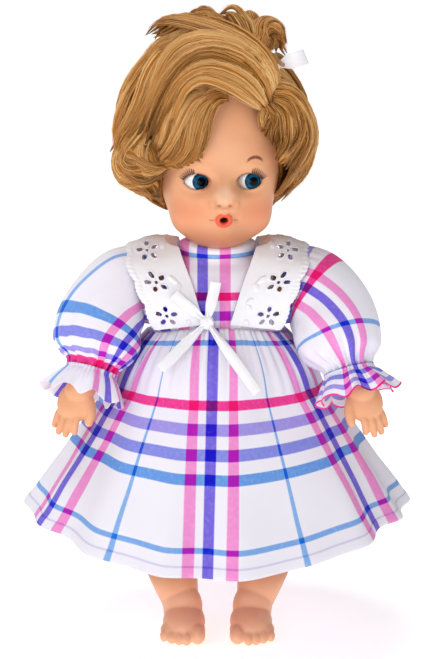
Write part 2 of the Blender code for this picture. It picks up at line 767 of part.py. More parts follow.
def make_head(pivot):
    """Hollow vinyl head with eye openings, a drinking mouth and a neck hole."""
    shape = bmesh.new()
    bmesh.ops.create_uvsphere(shape, u_segments=40, v_segments=28, radius=1.0)
    for corner in shape.verts:
        around = Vector((0, -1)).angle_signed(corner.co.xy, 0.0) if corner.co.xy.length > 0.0001 else 0.0
        around = around - 0.42 * sin(around)
        rise = max(min(corner.co.z, 1.0), -1.0)
        level = Vector((sqrt(1 - rise * rise), rise)).angle_signed(Vector((1, 0)), 0.0) / (pi / 2)
        level = (level - 0.22 * (1 - level * level)) * pi / 2
        direction = Vector((-sin(around) * cos(level), -cos(around) * cos(level), sin(level)))
        corner.co = face_point(skull_point(direction))
    head = place("head_shell", to_mesh("head_shell", shape))
    for side in (1, -1):
        ear = ball("ear", (0, 0, 0), EAR_SIZE, 14, 10)
        ear.data.transform(Matrix.Rotation(side * EAR_TURN, 4, "Z"))
        ear.data.transform(Matrix.Translation(ear_place(side)))
        merge(head, ear)
    hollow = ball("head_hollow", (0, HOLLOW_BACK, HEAD_MIDDLE), hollow_sizes(), 26, 16)
    far = HEAD_FRONT * 2
    cut(head, block("head_base", (-far, -CHIN_REACH, -far), (far, far, 0.0)))
    neck_room = NECK_RADIUS + FLANGE_LIP + RUN
    room_top = WALL + FLANGE_THICKNESS + 0.006
    room = turned("neck_room", ((0, room_top), (neck_room, room_top), (neck_room, WALL), (0, WALL)), 24)
    cut(head, hollow)
    cut(head, room)
    hole = NECK_RADIUS + RUN
    top = room_top - FLANGE_THICKNESS / 2
    throat = turned("neck_hole", ((0, top), (hole, top), (hole, -OVER), (0, -OVER)), 24)
    cut(head, throat)
    for side in (1, -1):
        eye = (side * EYE_X, -EYE_DEPTH, EYE_HEIGHT)
        socket = ball("eye_socket", eye, (EYE_RADIUS + RUN + GAP,) * 3, 20, 13)
        cut(head, socket)
        window = turned("eye_window", ((0, 0.03), (1, 0.03), (1, 0.0), (0, 0.0)), 28)
        window.data.transform(Matrix.Diagonal((EYE_OPEN_WIDTH / 2, EYE_OPEN_HEIGHT / 2, 1.0, 1.0)))
        window.data.transform(Matrix.Rotation(pi / 2, 4, "X"))
        window.data.transform(Matrix.Translation(Vector((side * (EYE_X + 0.0004), -EYE_DEPTH, EYE_HEIGHT))))
        cut(head, window)
    near, far = -hollow_front(MOUTH_HEIGHT) - 2 * RUN, HEAD_FRONT + OVER
    mouth = turned("mouth_hole", ((0, far), (1, far), (1, near), (0, near)), 16)
    mouth.data.transform(Matrix.Diagonal((MOUTH_WIDTH / 2, MOUTH_TALL / 2, 1.0, 1.0)))
    mouth.data.transform(Matrix.Rotation(pi / 2, 4, "X"))
    mouth.data.transform(Matrix.Translation(Vector((0, 0, MOUTH_HEIGHT))))
    cut(head, mouth)
    dress(thin_out(head, 1950), VINYL, 0.45, pivot)


def make_eyes(pivot, rocker):
    """One rocking pair of sleep eyes on an axle, with a weight that closes them lying down."""
    eye_level = Vector((0, -EYE_DEPTH, EYE_HEIGHT))
    reach = EYE_X - EYE_RADIUS * 0.5
    for side, word in ((1, "left"), (-1, "right")):
        centre = Vector((side * EYE_X, 0, 0))
        ahead = Vector((sin(GLANCE), -cos(GLANCE), 0))
        aim = ahead.to_track_quat("Z", "Y").to_matrix().to_4x4()
        seat = EYE_RADIUS - IRIS_DEPTH
        eyeball = ball("eyeball_" + word, centre, (EYE_RADIUS,) * 3, 18, 11, "Baby doll")
        bed = IRIS_RADIUS + RUN
        pocket = turned("iris_bed", ((0, 0.012), (bed, 0.012), (bed, seat), (0, seat)), 24)
        pocket.data.transform(Matrix.Translation(centre) @ aim)
        cut(eyeball, pocket)
        bore = pin("axle_bore", (0, 0, 0), (side * (reach + GAP), 0, 0), AXLE_RADIUS + RUN, 14)
        cut(eyeball, bore)
        dress(thin_out(eyeball, 330), EYE_WHITE, 0.2, rocker)
        rim = sqrt(EYE_RADIUS ** 2 - IRIS_RADIUS ** 2)
        middle = IRIS_RADIUS * 0.6
        dome = sqrt(EYE_RADIUS ** 2 - middle ** 2)
        base = seat + GAP
        profile = ((0, EYE_RADIUS), (middle, dome), (IRIS_RADIUS, rim), (IRIS_RADIUS, base), (0, base))
        iris = turned("iris_" + word, profile, 24, "Baby doll")
        iris.data.transform(Matrix.Translation(centre) @ aim)
        dress(iris, IRIS_BLUE, 0.15, rocker)
        lift = radians(20.0)
        root = EYE_RADIUS + GAP + 0.00015
        roots, tips = [], []
        for k in range(15):
            share = k / 14
            spread = side * radians(-10 + 30 * share)
            fan = side * radians(-4 + 42 * share)
            out = Vector((sin(spread), -cos(spread) * cos(lift), cos(spread) * sin(lift)))
            flare = Vector((sin(fan), -cos(fan) * cos(lift * 1.5), cos(fan) * sin(lift * 1.5)))
            tip = LASH_LENGTH if k % 2 else LASH_LENGTH * 0.3
            roots.append(centre + out * root)
            tips.append(centre + out * root + flare * tip)
        lashes = sheet("lashes_" + word, (roots, tips), 0.0003)
        dress(lashes, LASH_BLACK, 0.6, rocker)
    axle = pin("eye_axle", (-reach, 0, 0), (reach, 0, 0), AXLE_RADIUS, 12, "Baby doll")
    dress(axle, STEEL_GREY, 0.3, rocker, 1.0)
    behind = EYE_RADIUS + GAP
    low = Vector((0, EYE_RADIUS + YOKE_REACH, -YOKE_DROP))
    half = WEIGHT_LENGTH / 2 + YOKE_RADIUS
    yoke = wire(
        "eye_yoke",
        (
            (-EYE_X, behind, 0),
            (-EYE_X, low.y, 0),
            (-EYE_X, low.y, low.z),
            (-half, low.y, low.z),
            (half, low.y, low.z),
            (EYE_X, low.y, low.z),
            (EYE_X, low.y, 0),
            (EYE_X, behind, 0),
        ),
        YOKE_RADIUS,
    )
    dress(yoke, STEEL_GREY, 0.3, rocker, 1.0)
    end = Vector((WEIGHT_LENGTH / 2, 0, 0))
    weight = pin("eye_weight", low - end, low + end, WEIGHT_RADIUS, 18, "Baby doll")
    cut(weight, pin("weight_bore", low - end * 2, low + end * 2, YOKE_RADIUS + GAP, 14))
    dress(weight, LEAD_GREY, 0.6, rocker, 1.0)
    tall = BRACKET_HEIGHT / 2
    front = max(hollow_front(EYE_HEIGHT + tall), hollow_front(EYE_HEIGHT - tall)) + 2 * RUN
    half = Vector((BRACKET_WIDTH / 2, 0, tall))
    bracket = block(
        "eye_bracket",
        Vector((0, front, EYE_HEIGHT)) - half,
        Vector((0, BRACKET_END - EYE_DEPTH, EYE_HEIGHT)) + half,
        "Baby doll",
    )
    side = Vector((BRACKET_WIDTH, 0, 0))
    cut(bracket, pin("bracket_bore", eye_level - side, eye_level + side, AXLE_RADIUS + GAP, 14))
    dress(bracket, CLEAR_TUBE, 0.5, pivot)
    drop = NECK_LENGTH + TUBE_DROP
    front = hollow_front(MOUTH_HEIGHT) + 6 * RUN
    tube = wire(
        "drink_tube",
        (
            (0, front, MOUTH_HEIGHT),
            (0, front * 0.75, MOUTH_HEIGHT),
            (0, front * 0.35, MOUTH_HEIGHT - TUBE_RADIUS),
            (0, 0.0, MOUTH_HEIGHT / 3),
            (0, 0.0, 0.0),
            (0, 0.0, -drop),
        ),
        TUBE_RADIUS,
    )
    dress(tube, CLEAR_TUBE, 0.4, pivot)


def hair_point(direction, grow=0.0, locks=1.0):
    """The outer form of the hair with its main locks, in the head's own frame."""
    x, y, z = direction
    flat = sqrt(x * x + y * y)
    power = HAIR_CROWN_POWER if z > 0 else HAIR_NAPE_POWER
    swell = (flat ** power + abs(z) ** power) ** (1 / power)
    angle = Vector((1, 0)).angle_signed(Vector((x, y)), 0.0) if flat > 0.0001 else 0.0
    wave = 1 + locks * LOCK_HEIGHT / HAIR_HALF_WIDTH * flat * cos(HAIR_LOCKS * angle + 5.0 * z)
    return Vector((
        x / swell * wave * (HAIR_HALF_WIDTH + grow) - HAIR_LEAN,
        y / swell * wave * (HAIR_HALF_DEPTH + grow) + HAIR_BACK,
        HAIR_RISE + z / swell * (HAIR_HALF_HEIGHT + grow),
    ))


def hair_form(name, grow, locks, segments, rings, group):
    """A closed solid of the hair's outer form."""
    shape = bmesh.new()
    bmesh.ops.create_uvsphere(shape, u_segments=segments, v_segments=rings, radius=1.0)
    for corner in shape.verts:
        corner.co = hair_point(corner.co, grow, locks)
    return place(name, to_mesh(name, shape), group)


def make_hair(pivot):
    """Rooted hair as a thick cap with the face left free, and a curled topknot tied with a bow."""
    cap = hair_form("hair_cap", 0.0, 1.0, 52, 18, "Baby doll")
    shape = bmesh.new()
    bmesh.ops.create_uvsphere(shape, u_segments=36, v_segments=24, radius=1.0)
    for corner in shape.verts:
        corner.co = skull_point(corner.co, SCALP_GAP)
    scalp = place("scalp", to_mesh("scalp", shape), "Scratch")
    cut(cap, scalp)
    far = HAIR_HALF_DEPTH * 2
    ends = [[Vector((x, y, EYE_HEIGHT + z)) for x, z in HAIRLINE] for y in (-far, -FACE_WINDOW_DEPTH)]
    window = loft("face_window", ends, group="Scratch")
    cut(cap, window)
    trim = block("hair_trim", (-far, -far, -far), (far, far, HAIR_TRIM))
    cut(cap, trim)
    for side in (1, -1):
        room = ball("ear_room", (0, 0, 0), [size + EAR_ROOM for size in EAR_SIZE], 14, 10)
        room.data.transform(Matrix.Rotation(side * EAR_TURN, 4, "Z"))
        room.data.transform(Matrix.Translation(ear_place(side)))
        cut(cap, room)
    dress(thin_out(cap, 1150), HAIR_BLOND, 0.5, pivot)
    tie = Vector(TIE_WAY).normalized()
    foot = hair_point(tie, 0.0, 0.0)
    out = (foot - Vector((0, HAIR_BACK, HAIR_RISE))).normalized()
    crown = HAIR_RISE + HAIR_HALF_HEIGHT
    curls = [ball("curl", (x, y, crown - drop), sizes) for (x, y, drop), sizes in TOPKNOT_CURLS]
    topknot = flesh("hair_topknot", curls, 0.0015, 6, 320)
    clear = hair_form("topknot_seat", GAP + LOCK_HEIGHT, 0.0, 40, 24, "Scratch")
    cut(topknot, clear)
    dress(thin_out(topknot, 340), HAIR_BLOND, 0.5, pivot)
    knot_at = foot + out * (HAIR_BAND_CORD + GAP * 3)
    band = hoop("hair_band", knot_at, HAIR_BAND_RADIUS, HAIR_BAND_CORD, out, 16, 6)
    dress(band, RUBBER, 0.6, pivot)
    side = Vector(BOW_WAY).normalized()
    reach = BOW_KNOT_RADIUS + HAIR_BAND_CORD + GAP
    start = knot_at + out * sqrt(reach ** 2 - HAIR_BAND_RADIUS ** 2)
    knot = ball("hair_bow_knot", start, (BOW_KNOT_RADIUS,) * 3, 14, 10, "Baby doll")
    dress(knot, SATIN, 0.3, pivot)
    path = []
    for k in range(13):
        angle = 2 * pi * (k + 0.5) / 13
        bulge = BOW_LOOP_HEIGHT / 2 * sin(angle)
        along = BOW_KNOT_RADIUS + GAP + BOW_LOOP_LENGTH / 2 * (1 - cos(angle))
        path.append(start + side * along + Vector((0, 1, 0)) * bulge)
    rows = []
    across = Vector(BOW_ACROSS).normalized() * RIBBON_WIDTH / 2
    for point in path:
        rows.append([point - across, point + across])
    loop = sheet("hair_bow_loop", rows, RIBBON_CLOTH)
    dress(loop, SATIN, 0.3, pivot)


def make_bodice():
    """The dress's fitted top, with armholes and a neck opening."""
    count = 24
    levels = [WAIST_SIDE + GAP] + [HIP_HEIGHT + TORSO_HEIGHT * row[0] for row in TORSO_FORM[8:]]
    rings = [oval(level, EASE + CLOTH / 2, count) for level in levels]
    for ring, lift in zip(rings[-3:], (0.0, 0.6, 1.0)):
        for corner in ring:
            corner.z += lift * (EASE + CLOTH)
    band_foot = NECK_FOOT + 0.0018
    rings.append(circle_about((0, 0, band_foot), (0, 0, 1), NECKBAND_RADIUS, count, (1, 0, 0)))
    for k, corner in enumerate(rings[0]):
        corner.z = waist_height(2 * pi * k / count)
    bodice = thicken(loft("bodice", rings, closed=False), CLOTH)
    for side in (1, -1):
        z = SHOULDER_HEIGHT
        hole = pin("armhole", (side * 0.018, 0, z), (side * 0.08, 0, z), ARMHOLE_RADIUS + CLOTH / 2 + RUN, 24)
        cut(bodice, hole)
    dress(thin_out(bodice, 600), PLAID_CLOTH, 0.85)
    foot = band_foot + CLOTH / 2 + GAP
    inside = NECKBAND_RADIUS - CLOTH / 2
    band = [
        circle_about((0, 0, height), (0, 0, 1), inside, 24, (1, 0, 0))
        for height in (foot, foot + NECKBAND_HEIGHT)
    ]
    neckband = thicken(loft("neckband", band, closed=False), CLOTH)
    dress(neckband, PLAID_CLOTH, 0.85)


def waist_height(angle):
    """Height of the waist seam, higher at the front and back than at the sides."""
    return WAIST_SIDE + (WAIST_FRONT - WAIST_SIDE) * sin(angle) ** 2


def make_skirt():
    """The gathered skirt, a flared wall with folds that grow towards the hem."""
    count = SKIRT_FOLDS * 4
    rows = 6
    rings = []
    for row in range(rows + 1):
        share = row / rows
        ring = []
        for k in range(count):
            angle = 2 * pi * k / count
            width, front, back = torso_size(WAIST_SIDE)
            depth = back if sin(angle) > 0 else front
            grow = EASE + CLOTH
            fold = 1 - FOLD_SHARE * share * (0.5 - 0.5 * cos(SKIRT_FOLDS * angle))
            x = ((width + grow) * (1 - share) + SKIRT_HALF_WIDTH * share) * fold * cos(angle)
            y = ((depth + grow) * (1 - share) + SKIRT_HALF_DEPTH * share) * fold * sin(angle)
            top = waist_height(angle) - GAP - CLOTH * 0.35
            hem = HEM_SIDE + (HEM_FRONT - HEM_SIDE) * sin(angle) ** 2
            ring.append(Vector((x, y, top + (hem - top) * share)))
        rings.append(ring)
    skirt = thicken(loft("skirt", rings, closed=False), CLOTH)
    dress(skirt, PLAID_CLOTH, 0.85)


def make_collar():
    """Two eyelet collar halves, from the front waist over the shoulders to the back."""
    stand = EASE + CLOTH + GAP + COLLAR_CLOTH + COLLAR_LIFT
    for side, word in ((1, "left"), (-1, "right")):
        rows = []
        for (near_x, near_y, near_z), (far_x, far_y, far_z) in zip(COLLAR_INNER, COLLAR_OUTER):
            start = Vector((NECKBAND_RADIUS + near_x, 0, NECK_FOOT + near_z))
            start.y = chest_y(start.x, start.z, stand) if near_y is None else near_y
            end = Vector((BODY_HALF_WIDTH + far_x, far_y, NECK_FOOT + far_z))
            over_shoulder = near_y is not None and -0.01 < near_y < 0.02
            behind = start.y > 0.01
            row = []
            for step in range(7):
                point = start.lerp(end, step / 6)
                surface = chest_y(point.x, point.z, stand, behind)
                if over_shoulder:
                    point.z += COLLAR_CROWN * sin(pi * step / 6)
                else:
                    point.y = max(point.y, surface) if behind else min(point.y, surface)
                row.append(Vector((side * point.x, point.y, point.z)))
            rows.append(row)
        collar = sheet("collar_" + word, rows, COLLAR_CLOTH)
        dress(collar, WHITE_CLOTH, 0.9)


def make_chest_ribbon():
    """The white ribbon at the waist: a knot and four loose ends."""
    knot_at = Vector((-KNOT_ASIDE, 0, WAIST_FRONT + KNOT_RISE))
    stand = EASE + CLOTH + GAP + COLLAR_CLOTH * 2 + COLLAR_LIFT + KNOT_SIZE[1] - GAP * 2
    knot_at.y = chest_y(knot_at.x, knot_at.z, stand) - RIBBON_CLOTH
    knot = ball("ribbon_knot", knot_at, KNOT_SIZE, 16, 10, "Baby doll")
    dress(knot, SATIN, 0.3)
    for name, aside, up, flare in RIBBON_ENDS:
        away = Vector((aside, 0, up)).normalized()
        start = knot_at + away * (KNOT_SIZE[0] + RIBBON_CLOTH)
        across = Vector((-away.z, 0, away.x)) * RIBBON_WIDTH / 2
        rows = []
        for k in range(6):
            share = k / 5
            middle = start.lerp(knot_at + Vector((aside, 0, up)), share)
            surface = chest_y(middle.x, max(middle.z, WAIST_FRONT), stand)
            middle.y = min(surface, knot_at.y + RIBBON_SINK * share) - flare * share
            half = across * (RIBBON_PINCH + (1 - RIBBON_PINCH) * min(share / RIBBON_OPENS, 1.0))
            rows.append([middle - half, middle + half])
        dress(sheet(name, rows, RIBBON_CLOTH), SATIN, 0.3)


def mirrored(way, side):
    """A direction or offset given for the left side, turned to the given side."""
    return Vector((side * way[0], way[1], way[2]))


def arm_path(side):
    """Stations of the arm from the shoulder to the wrist, as points and radii."""
    return [
        (Vector((side * (BODY_HALF_WIDTH + aside), back, SHOULDER_HEIGHT + rise)), radius)
        for aside, back, rise, radius in ARM_STATIONS
    ]


def make_arms():
    """Vinyl arms with hands, puffed sleeves, cuff elastics and ruffles."""
    z = SHOULDER_HEIGHT
    for side, word in ((1, "left"), (-1, "right")):
        path = arm_path(side)
        wrist = path[-1][0]
        lumps = [limb("arm", path), ball("shoulder", path[1][0], (SHOULDER_BALL,) * 3)]
        down = mirrored(HAND_HEADING, side).normalized()
        facing = mirrored(HAND_FACING, side)
        facing = (facing - down * facing.dot(down)).normalized()
        outer = down.cross(facing) * -side
        palm_at = wrist + down * PALM_REACH
        palm = ball("palm", (0, 0, 0), PALM_SIZE)
        frame = Matrix((outer, facing, down)).transposed().to_4x4()
        palm.data.transform(Matrix.Translation(palm_at) @ frame)
        lumps.append(palm)
        for k, length in enumerate(FINGER_LENGTHS):
            spread = FINGER_FIRST + FINGER_STEP * k
            root = palm_at + outer * spread + down * FINGER_ROOT
            heading = (down + outer * spread * FINGER_FAN).normalized()
            knuckle = root + heading * length * 0.55 + facing * FINGER_BEND[0]
            tip = root + heading * length - facing * FINGER_BEND[1]
            lumps.append(limb("finger", list(zip((root, knuckle, tip), FINGER_RADII)), 10))
            lumps.append(ball("fingertip", tip, (FINGERTIP,) * 3, 12, 8))
        base = palm_at - outer * THUMB_ASIDE[0] + down * THUMB_DOWN[0]
        bend = base - outer * THUMB_ASIDE[1] + down * THUMB_DOWN[1]
        tip = bend + outer * THUMB_ASIDE[2] + down * THUMB_DOWN[2]
        lumps.append(limb("thumb", list(zip((base, bend, tip), THUMB_RADII)), 10))
        lumps.append(ball("thumbtip", tip, (THUMBTIP,) * 3, 12, 8))
        arm = flesh("arm_" + word, lumps, 0.0011, 5, 580)
        low, high = sorted((side * -OVER, side * BODY_HALF_WIDTH))
        cut(arm, block("arm_face", (low, -OVER, z - OVER), (high, OVER, z + OVER)))
        peg = plug("peg", BODY_HALF_WIDTH, BODY_HALF_WIDTH - RUN - WALL, SHOULDER_STEM, side, z)
        merge(arm, peg)
        dress(arm, VINYL, 0.45)
        make_sleeve(side, word, wrist)


def make_sleeve(side, word, wrist):
    """A puffed sleeve from the armhole to a gathered cuff, with its elastic and ruffle."""
    face = BODY_HALF_WIDTH + EASE + GAP
    cuff = wrist + mirrored(CUFF_FROM_WRIST, side)
    stations = []
    for aside, back, rise, radius, fold, heading in SLEEVE_STATIONS:
        centre = Vector((side * (face + aside), back, SHOULDER_HEIGHT + rise))
        stations.append((centre, radius, fold, heading))
    stations.append((cuff + mirrored(CUFF_GATHER, side), GATHER_RADIUS, GATHER_FOLD, GATHER_HEADING))
    stations.append((cuff, CUFF_RADIUS, 0.0, CUFF_HEADING))
    count = SLEEVE_FOLDS * 3
    rings = []
    for centre, radius, fold, heading in stations:
        ring = circle_about(centre, mirrored(heading, side), 1.0, count, (0, 1, 0.3))
        rings.append([
            centre + (point - centre) * radius * (1 + fold * cos(SLEEVE_FOLDS * 2 * pi * k / count))
            for k, point in enumerate(ring)
        ])
    sleeve = thicken(loft("sleeve_" + word, rings, closed=False), CLOTH)
    dress(sleeve, PLAID_CLOTH, 0.85)
    heading = mirrored(CUFF_HEADING, side).normalized()
    band_at = cuff + heading * (CUFF_CORD + GAP + CLOTH * 0.3)
    band = hoop("sleeve_elastic_" + word, band_at, CUFF_RADIUS, CUFF_CORD, heading, 20, 6)
    dress(band, RUBBER, 0.7)
    start = band_at + heading * (CUFF_CORD + GAP + CLOTH * 0.35)
    waves = RUFFLE_WAVES
    around = waves * 3
    rings = []
    for row in range(3):
        share = row / 2
        centre = start + heading * RUFFLE_LENGTH * share
        radius = CUFF_RADIUS + (RUFFLE_RADIUS - CUFF_RADIUS) * share ** 0.8
        ring = circle_about(centre, heading, 1.0, around, (0, 1, 0.3))
        rings.append([
            centre
            + (point - centre) * radius * (1 + RUFFLE_FOLD * share * cos(waves * 2 * pi * k / around))
            + heading * RUFFLE_RIPPLE * share * sin(waves * 2 * pi * k / around)
            for k, point in enumerate(ring)
        ])
    ruffle = thicken(loft("sleeve_ruffle_" + word, rings, closed=False), CLOTH * 0.8)
    dress(ruffle, WHITE_CLOTH, 0.9)


def make_legs():
    """Vinyl legs with bare feet, and the rubber link that strings them together."""
    face = CROTCH_HALF_WIDTH + RUN
    for side, word in ((1, "left"), (-1, "right")):
        path = [
            (Vector((side * (face + aside), back, HIP_HEIGHT * share)), radius)
            for aside, back, share, radius in LEG_STATIONS
        ]
        lumps = [limb("leg", path, 16), ball("hip", path[0][0], (path[0][1],) * 3)]
        ankle = Vector((face + ANKLE_OUT, 0, 0))
        heel = mirrored(ankle + Vector(HEEL_PLACE), side)
        lumps.append(ball("heel", heel, (HEEL_RADIUS,) * 3))
        lumps.append(ball("foot", mirrored(ankle + Vector(FOOT_PLACE), side), FOOT_SIZE))
        great = mirrored(ankle + Vector(GREAT_TOE_PLACE), side)
        lumps.append(ball("great_toe", great, GREAT_TOE_SIZE, 14, 10))
        for k in range(4):
            toe = ankle + Vector(TOE_PLACE) + Vector((TOE_STEP * k, TOE_CURVE * k * k, 0))
            size = TOE_RADIUS - TOE_SHRINK * k
            lumps.append(ball("toe", mirrored(toe, side), [size * share for share in TOE_STRETCH], 12, 8))
        leg = flesh("leg_" + word, lumps, 0.0012, 5, 580)
        low, high = sorted((side * -OVER, side * face))
        cut(leg, block("leg_face", (low, -OVER, HIP_HEIGHT - THIGH_FACE), (high, OVER, HIP_HEIGHT + OVER)))
        wide = HIP_HEIGHT
        cut(leg, block("floor", (-wide, -wide, -OVER), (wide, wide, 0.0)))
        peg = plug("peg", face, CROTCH_HALF_WIDTH - WALL, HIP_STEM, side, HIP_HEIGHT)
        merge(leg, peg)
        dress(leg, VINYL, 0.45)
    reach = CROTCH_HALF_WIDTH - WALL - RUN - PLUG_THICKNESS - GAP
    link = pin("hip_link", (-reach, 0, HIP_HEIGHT), (reach, 0, HIP_HEIGHT), HIP_LINK_RADIUS, 14, "Baby doll")
    dress(link, RUBBER, 0.6)


def main():
    """Build the doll."""
    clear_scene()
    pivot = place("head_pivot", None)
    pivot.location = (0, 0, HEAD_BASE)
    pivot.rotation_euler = (0, 0, HEAD_TURN)
    rocker = place("eye_rocker", None)
    rocker.parent = pivot
    rocker.location = (0, -EYE_DEPTH, EYE_HEIGHT)
    make_torso()
    make_head(pivot)
    make_eyes(pivot, rocker)
    make_hair(pivot)
    make_bodice()
    make_skirt()
    make_collar()
    make_chest_ribbon()
    make_arms()
    make_legs()
    bpy.context.view_layer.update()


main()
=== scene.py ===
"""A vinyl baby doll in a plaid dress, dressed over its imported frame.

Metres, +Z up. The face looks towards -Y, so the doll's own left is +X.
"""

import json
import logging
import random
from dataclasses import dataclass, field
from enum import Enum
from functools import partial
from math import cos, exp, floor, pi, radians, sin, sqrt, tau
from typing import Callable, Optional, Sequence, Union

import bmesh
import bpy
from mathutils import Matrix, Vector, noise
from mathutils.bvhtree import BVHTree


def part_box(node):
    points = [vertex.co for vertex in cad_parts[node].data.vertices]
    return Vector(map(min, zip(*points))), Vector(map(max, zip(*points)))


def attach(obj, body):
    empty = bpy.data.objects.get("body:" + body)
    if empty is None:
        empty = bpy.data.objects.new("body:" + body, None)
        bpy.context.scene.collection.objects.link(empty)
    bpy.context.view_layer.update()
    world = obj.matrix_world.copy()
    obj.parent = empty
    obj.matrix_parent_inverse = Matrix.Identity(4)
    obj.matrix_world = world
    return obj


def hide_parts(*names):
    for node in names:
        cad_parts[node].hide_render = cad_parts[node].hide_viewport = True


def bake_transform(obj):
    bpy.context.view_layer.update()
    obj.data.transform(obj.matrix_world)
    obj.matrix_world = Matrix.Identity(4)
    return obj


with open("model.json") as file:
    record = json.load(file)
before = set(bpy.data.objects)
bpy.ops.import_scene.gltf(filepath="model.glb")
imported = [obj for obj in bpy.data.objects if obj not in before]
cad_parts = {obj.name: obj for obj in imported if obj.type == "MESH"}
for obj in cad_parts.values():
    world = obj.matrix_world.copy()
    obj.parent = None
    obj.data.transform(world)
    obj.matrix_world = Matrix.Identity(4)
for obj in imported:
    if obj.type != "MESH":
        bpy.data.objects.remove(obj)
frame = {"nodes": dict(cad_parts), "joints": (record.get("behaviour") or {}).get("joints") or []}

LOG = logging.getLogger("baby_doll")
MM = 0.001
GAMMA = 2.2
WHITE = (1.0, 1.0, 1.0, 1.0)

Value = Union["Wire", float, Sequence[float]]
Spot = Callable[[float, float], Vector]
Chart = Callable[[float, float], tuple[float, float]]
Outline = Callable[[float], tuple[float, float]]
Triple = tuple[float, float, float]


class Side(Enum):
    """The doll's own left and right."""

    LEFT = 1
    RIGHT = -1

    @property
    def word(self) -> str:
        """The side's name, as the frame spells it."""
        return self.name.lower()

    def mirrored(self, values: Sequence[float]) -> Vector:
        """Three values with the sideways one turned to this side."""
        return Vector((self.value * values[0], values[1], values[2]))


def screen(code: str) -> tuple[float, ...]:
    """The red, green, blue and full alpha of a six-digit screen colour."""
    return (*(int(code[k:k + 2], 16) / 255 for k in (0, 2, 4)), 1.0)


def linear(code: str) -> tuple[float, ...]:
    """The linear colour of a six-digit screen colour."""
    return tuple(share ** GAMMA for share in screen(code))


def clamp(value: float) -> float:
    """A value kept from 0 to 1."""
    return min(max(value, 0.0), 1.0)


def ease(value: float) -> float:
    """A smooth step from 0 to 1."""
    share = clamp(value)
    return share * share * (3 - 2 * share)


def bell(value: float, reach: float) -> float:
    """A smooth bump, 1 where a value is 0 and fading over a reach."""
    return exp(-(value / reach) ** 2)


def fade(share: float, end: float) -> float:
    """A straight fall from 1 at the start to 0 at an end."""
    return max(1 - share / end, 0.0)


def along(stations: Sequence[Vector], share: float) -> Vector:
    """A point of the smooth curve through a row of stations.

    Args:
        stations: The stations, with any number of values each.
        share: How far along the row, from 0 to 1.

    Returns:
        The curve's values there.
    """
    last = len(stations) - 1
    place = share * last
    index = min(max(int(place), 0), last - 1)
    step = place - index
    near, far = stations[index], stations[index + 1]
    before = stations[max(index - 1, 0)]
    after = stations[min(index + 2, last)]
    bend = (before * 2 - near * 5 + far * 4 - after) * step ** 2
    curl = (near * 3 - before - far * 3 + after) * step ** 3
    return (near * 2 + (far - before) * step + bend + curl) * 0.5


def heading_along(stations: Sequence[Vector], share: float, reach: float) -> Vector:
    """Where the curve through a row of stations leads, over a reach to both sides."""
    return along(stations, min(share + reach, 1.0)) - along(stations, max(share - reach, 0.0))


def cross_axes(heading: Vector, up: Vector) -> tuple[Vector, Vector]:
    """Two directions square to a heading, the first one nearest to up."""
    side = heading.cross(up).normalized()
    return side.cross(heading).normalized(), side


def spoke(axes: tuple[Vector, Vector], angle: float) -> Vector:
    """The direction at an angle between two axes."""
    return axes[0] * cos(angle) + axes[1] * sin(angle)


def ring_point(wide: float, deep: float, angle: float, height: float) -> Vector:
    """A point of a level oval."""
    return Vector((wide * cos(angle), deep * sin(angle), height))


def oval(wide: float, high: float, up: float = 0.0) -> Outline:
    """The outline of an oval, raised by a distance."""
    return lambda share: (wide * cos(tau * share), high * sin(tau * share) + up)


class Wire:
    """A socket of a shader tree; arithmetic on it adds Math nodes."""

    def __init__(self, paint: "Paint", socket: bpy.types.NodeSocket) -> None:
        """Keeps the socket and the paint that it belongs to."""
        self.paint = paint
        self.socket = socket

    def math(self, operation: str, *others: Value) -> "Wire":
        """Adds one Math node.

        Args:
            operation: The node's operation.
            others: The values after this one.

        Returns:
            The node's result.
        """
        return self.paint.node("ShaderNodeMath", {"operation": operation}, dict(enumerate((self, *others))))

    def __add__(self, other: Value) -> "Wire":
        """This value plus another."""
        return self.math("ADD", other)

    __radd__ = __add__

    def __sub__(self, other: Value) -> "Wire":
        """This value less another."""
        return self.math("SUBTRACT", other)

    def __rsub__(self, other: float) -> "Wire":
        """A number less this value."""
        return self.math("MULTIPLY_ADD", -1.0, other)

    def __mul__(self, other: Value) -> "Wire":
        """This value times another."""
        return self.math("MULTIPLY", other)

    __rmul__ = __mul__

    def __truediv__(self, other: Value) -> "Wire":
        """This value over another."""
        return self.math("DIVIDE", other)

    def __pow__(self, other: Value) -> "Wire":
        """This value to a power."""
        return self.math("POWER", other)

    def __abs__(self) -> "Wire":
        """This value without its sign."""
        return self.math("ABSOLUTE")

    def bell(self, reach: float) -> "Wire":
        """A smooth bump, 1 where this value is 0 and fading over a reach."""
        scaled = self * (1 / reach)
        return (scaled * scaled * -1.0).math("EXPONENT")

    def step(self, low: float, high: float) -> "Wire":
        """A smooth step from 0 at low to 1 at high."""
        inputs = {0: self, 1: low, 2: high, 3: 0.0, 4: 1.0}
        return self.paint.node("ShaderNodeMapRange", {"interpolation_type": "SMOOTHSTEP"}, inputs)


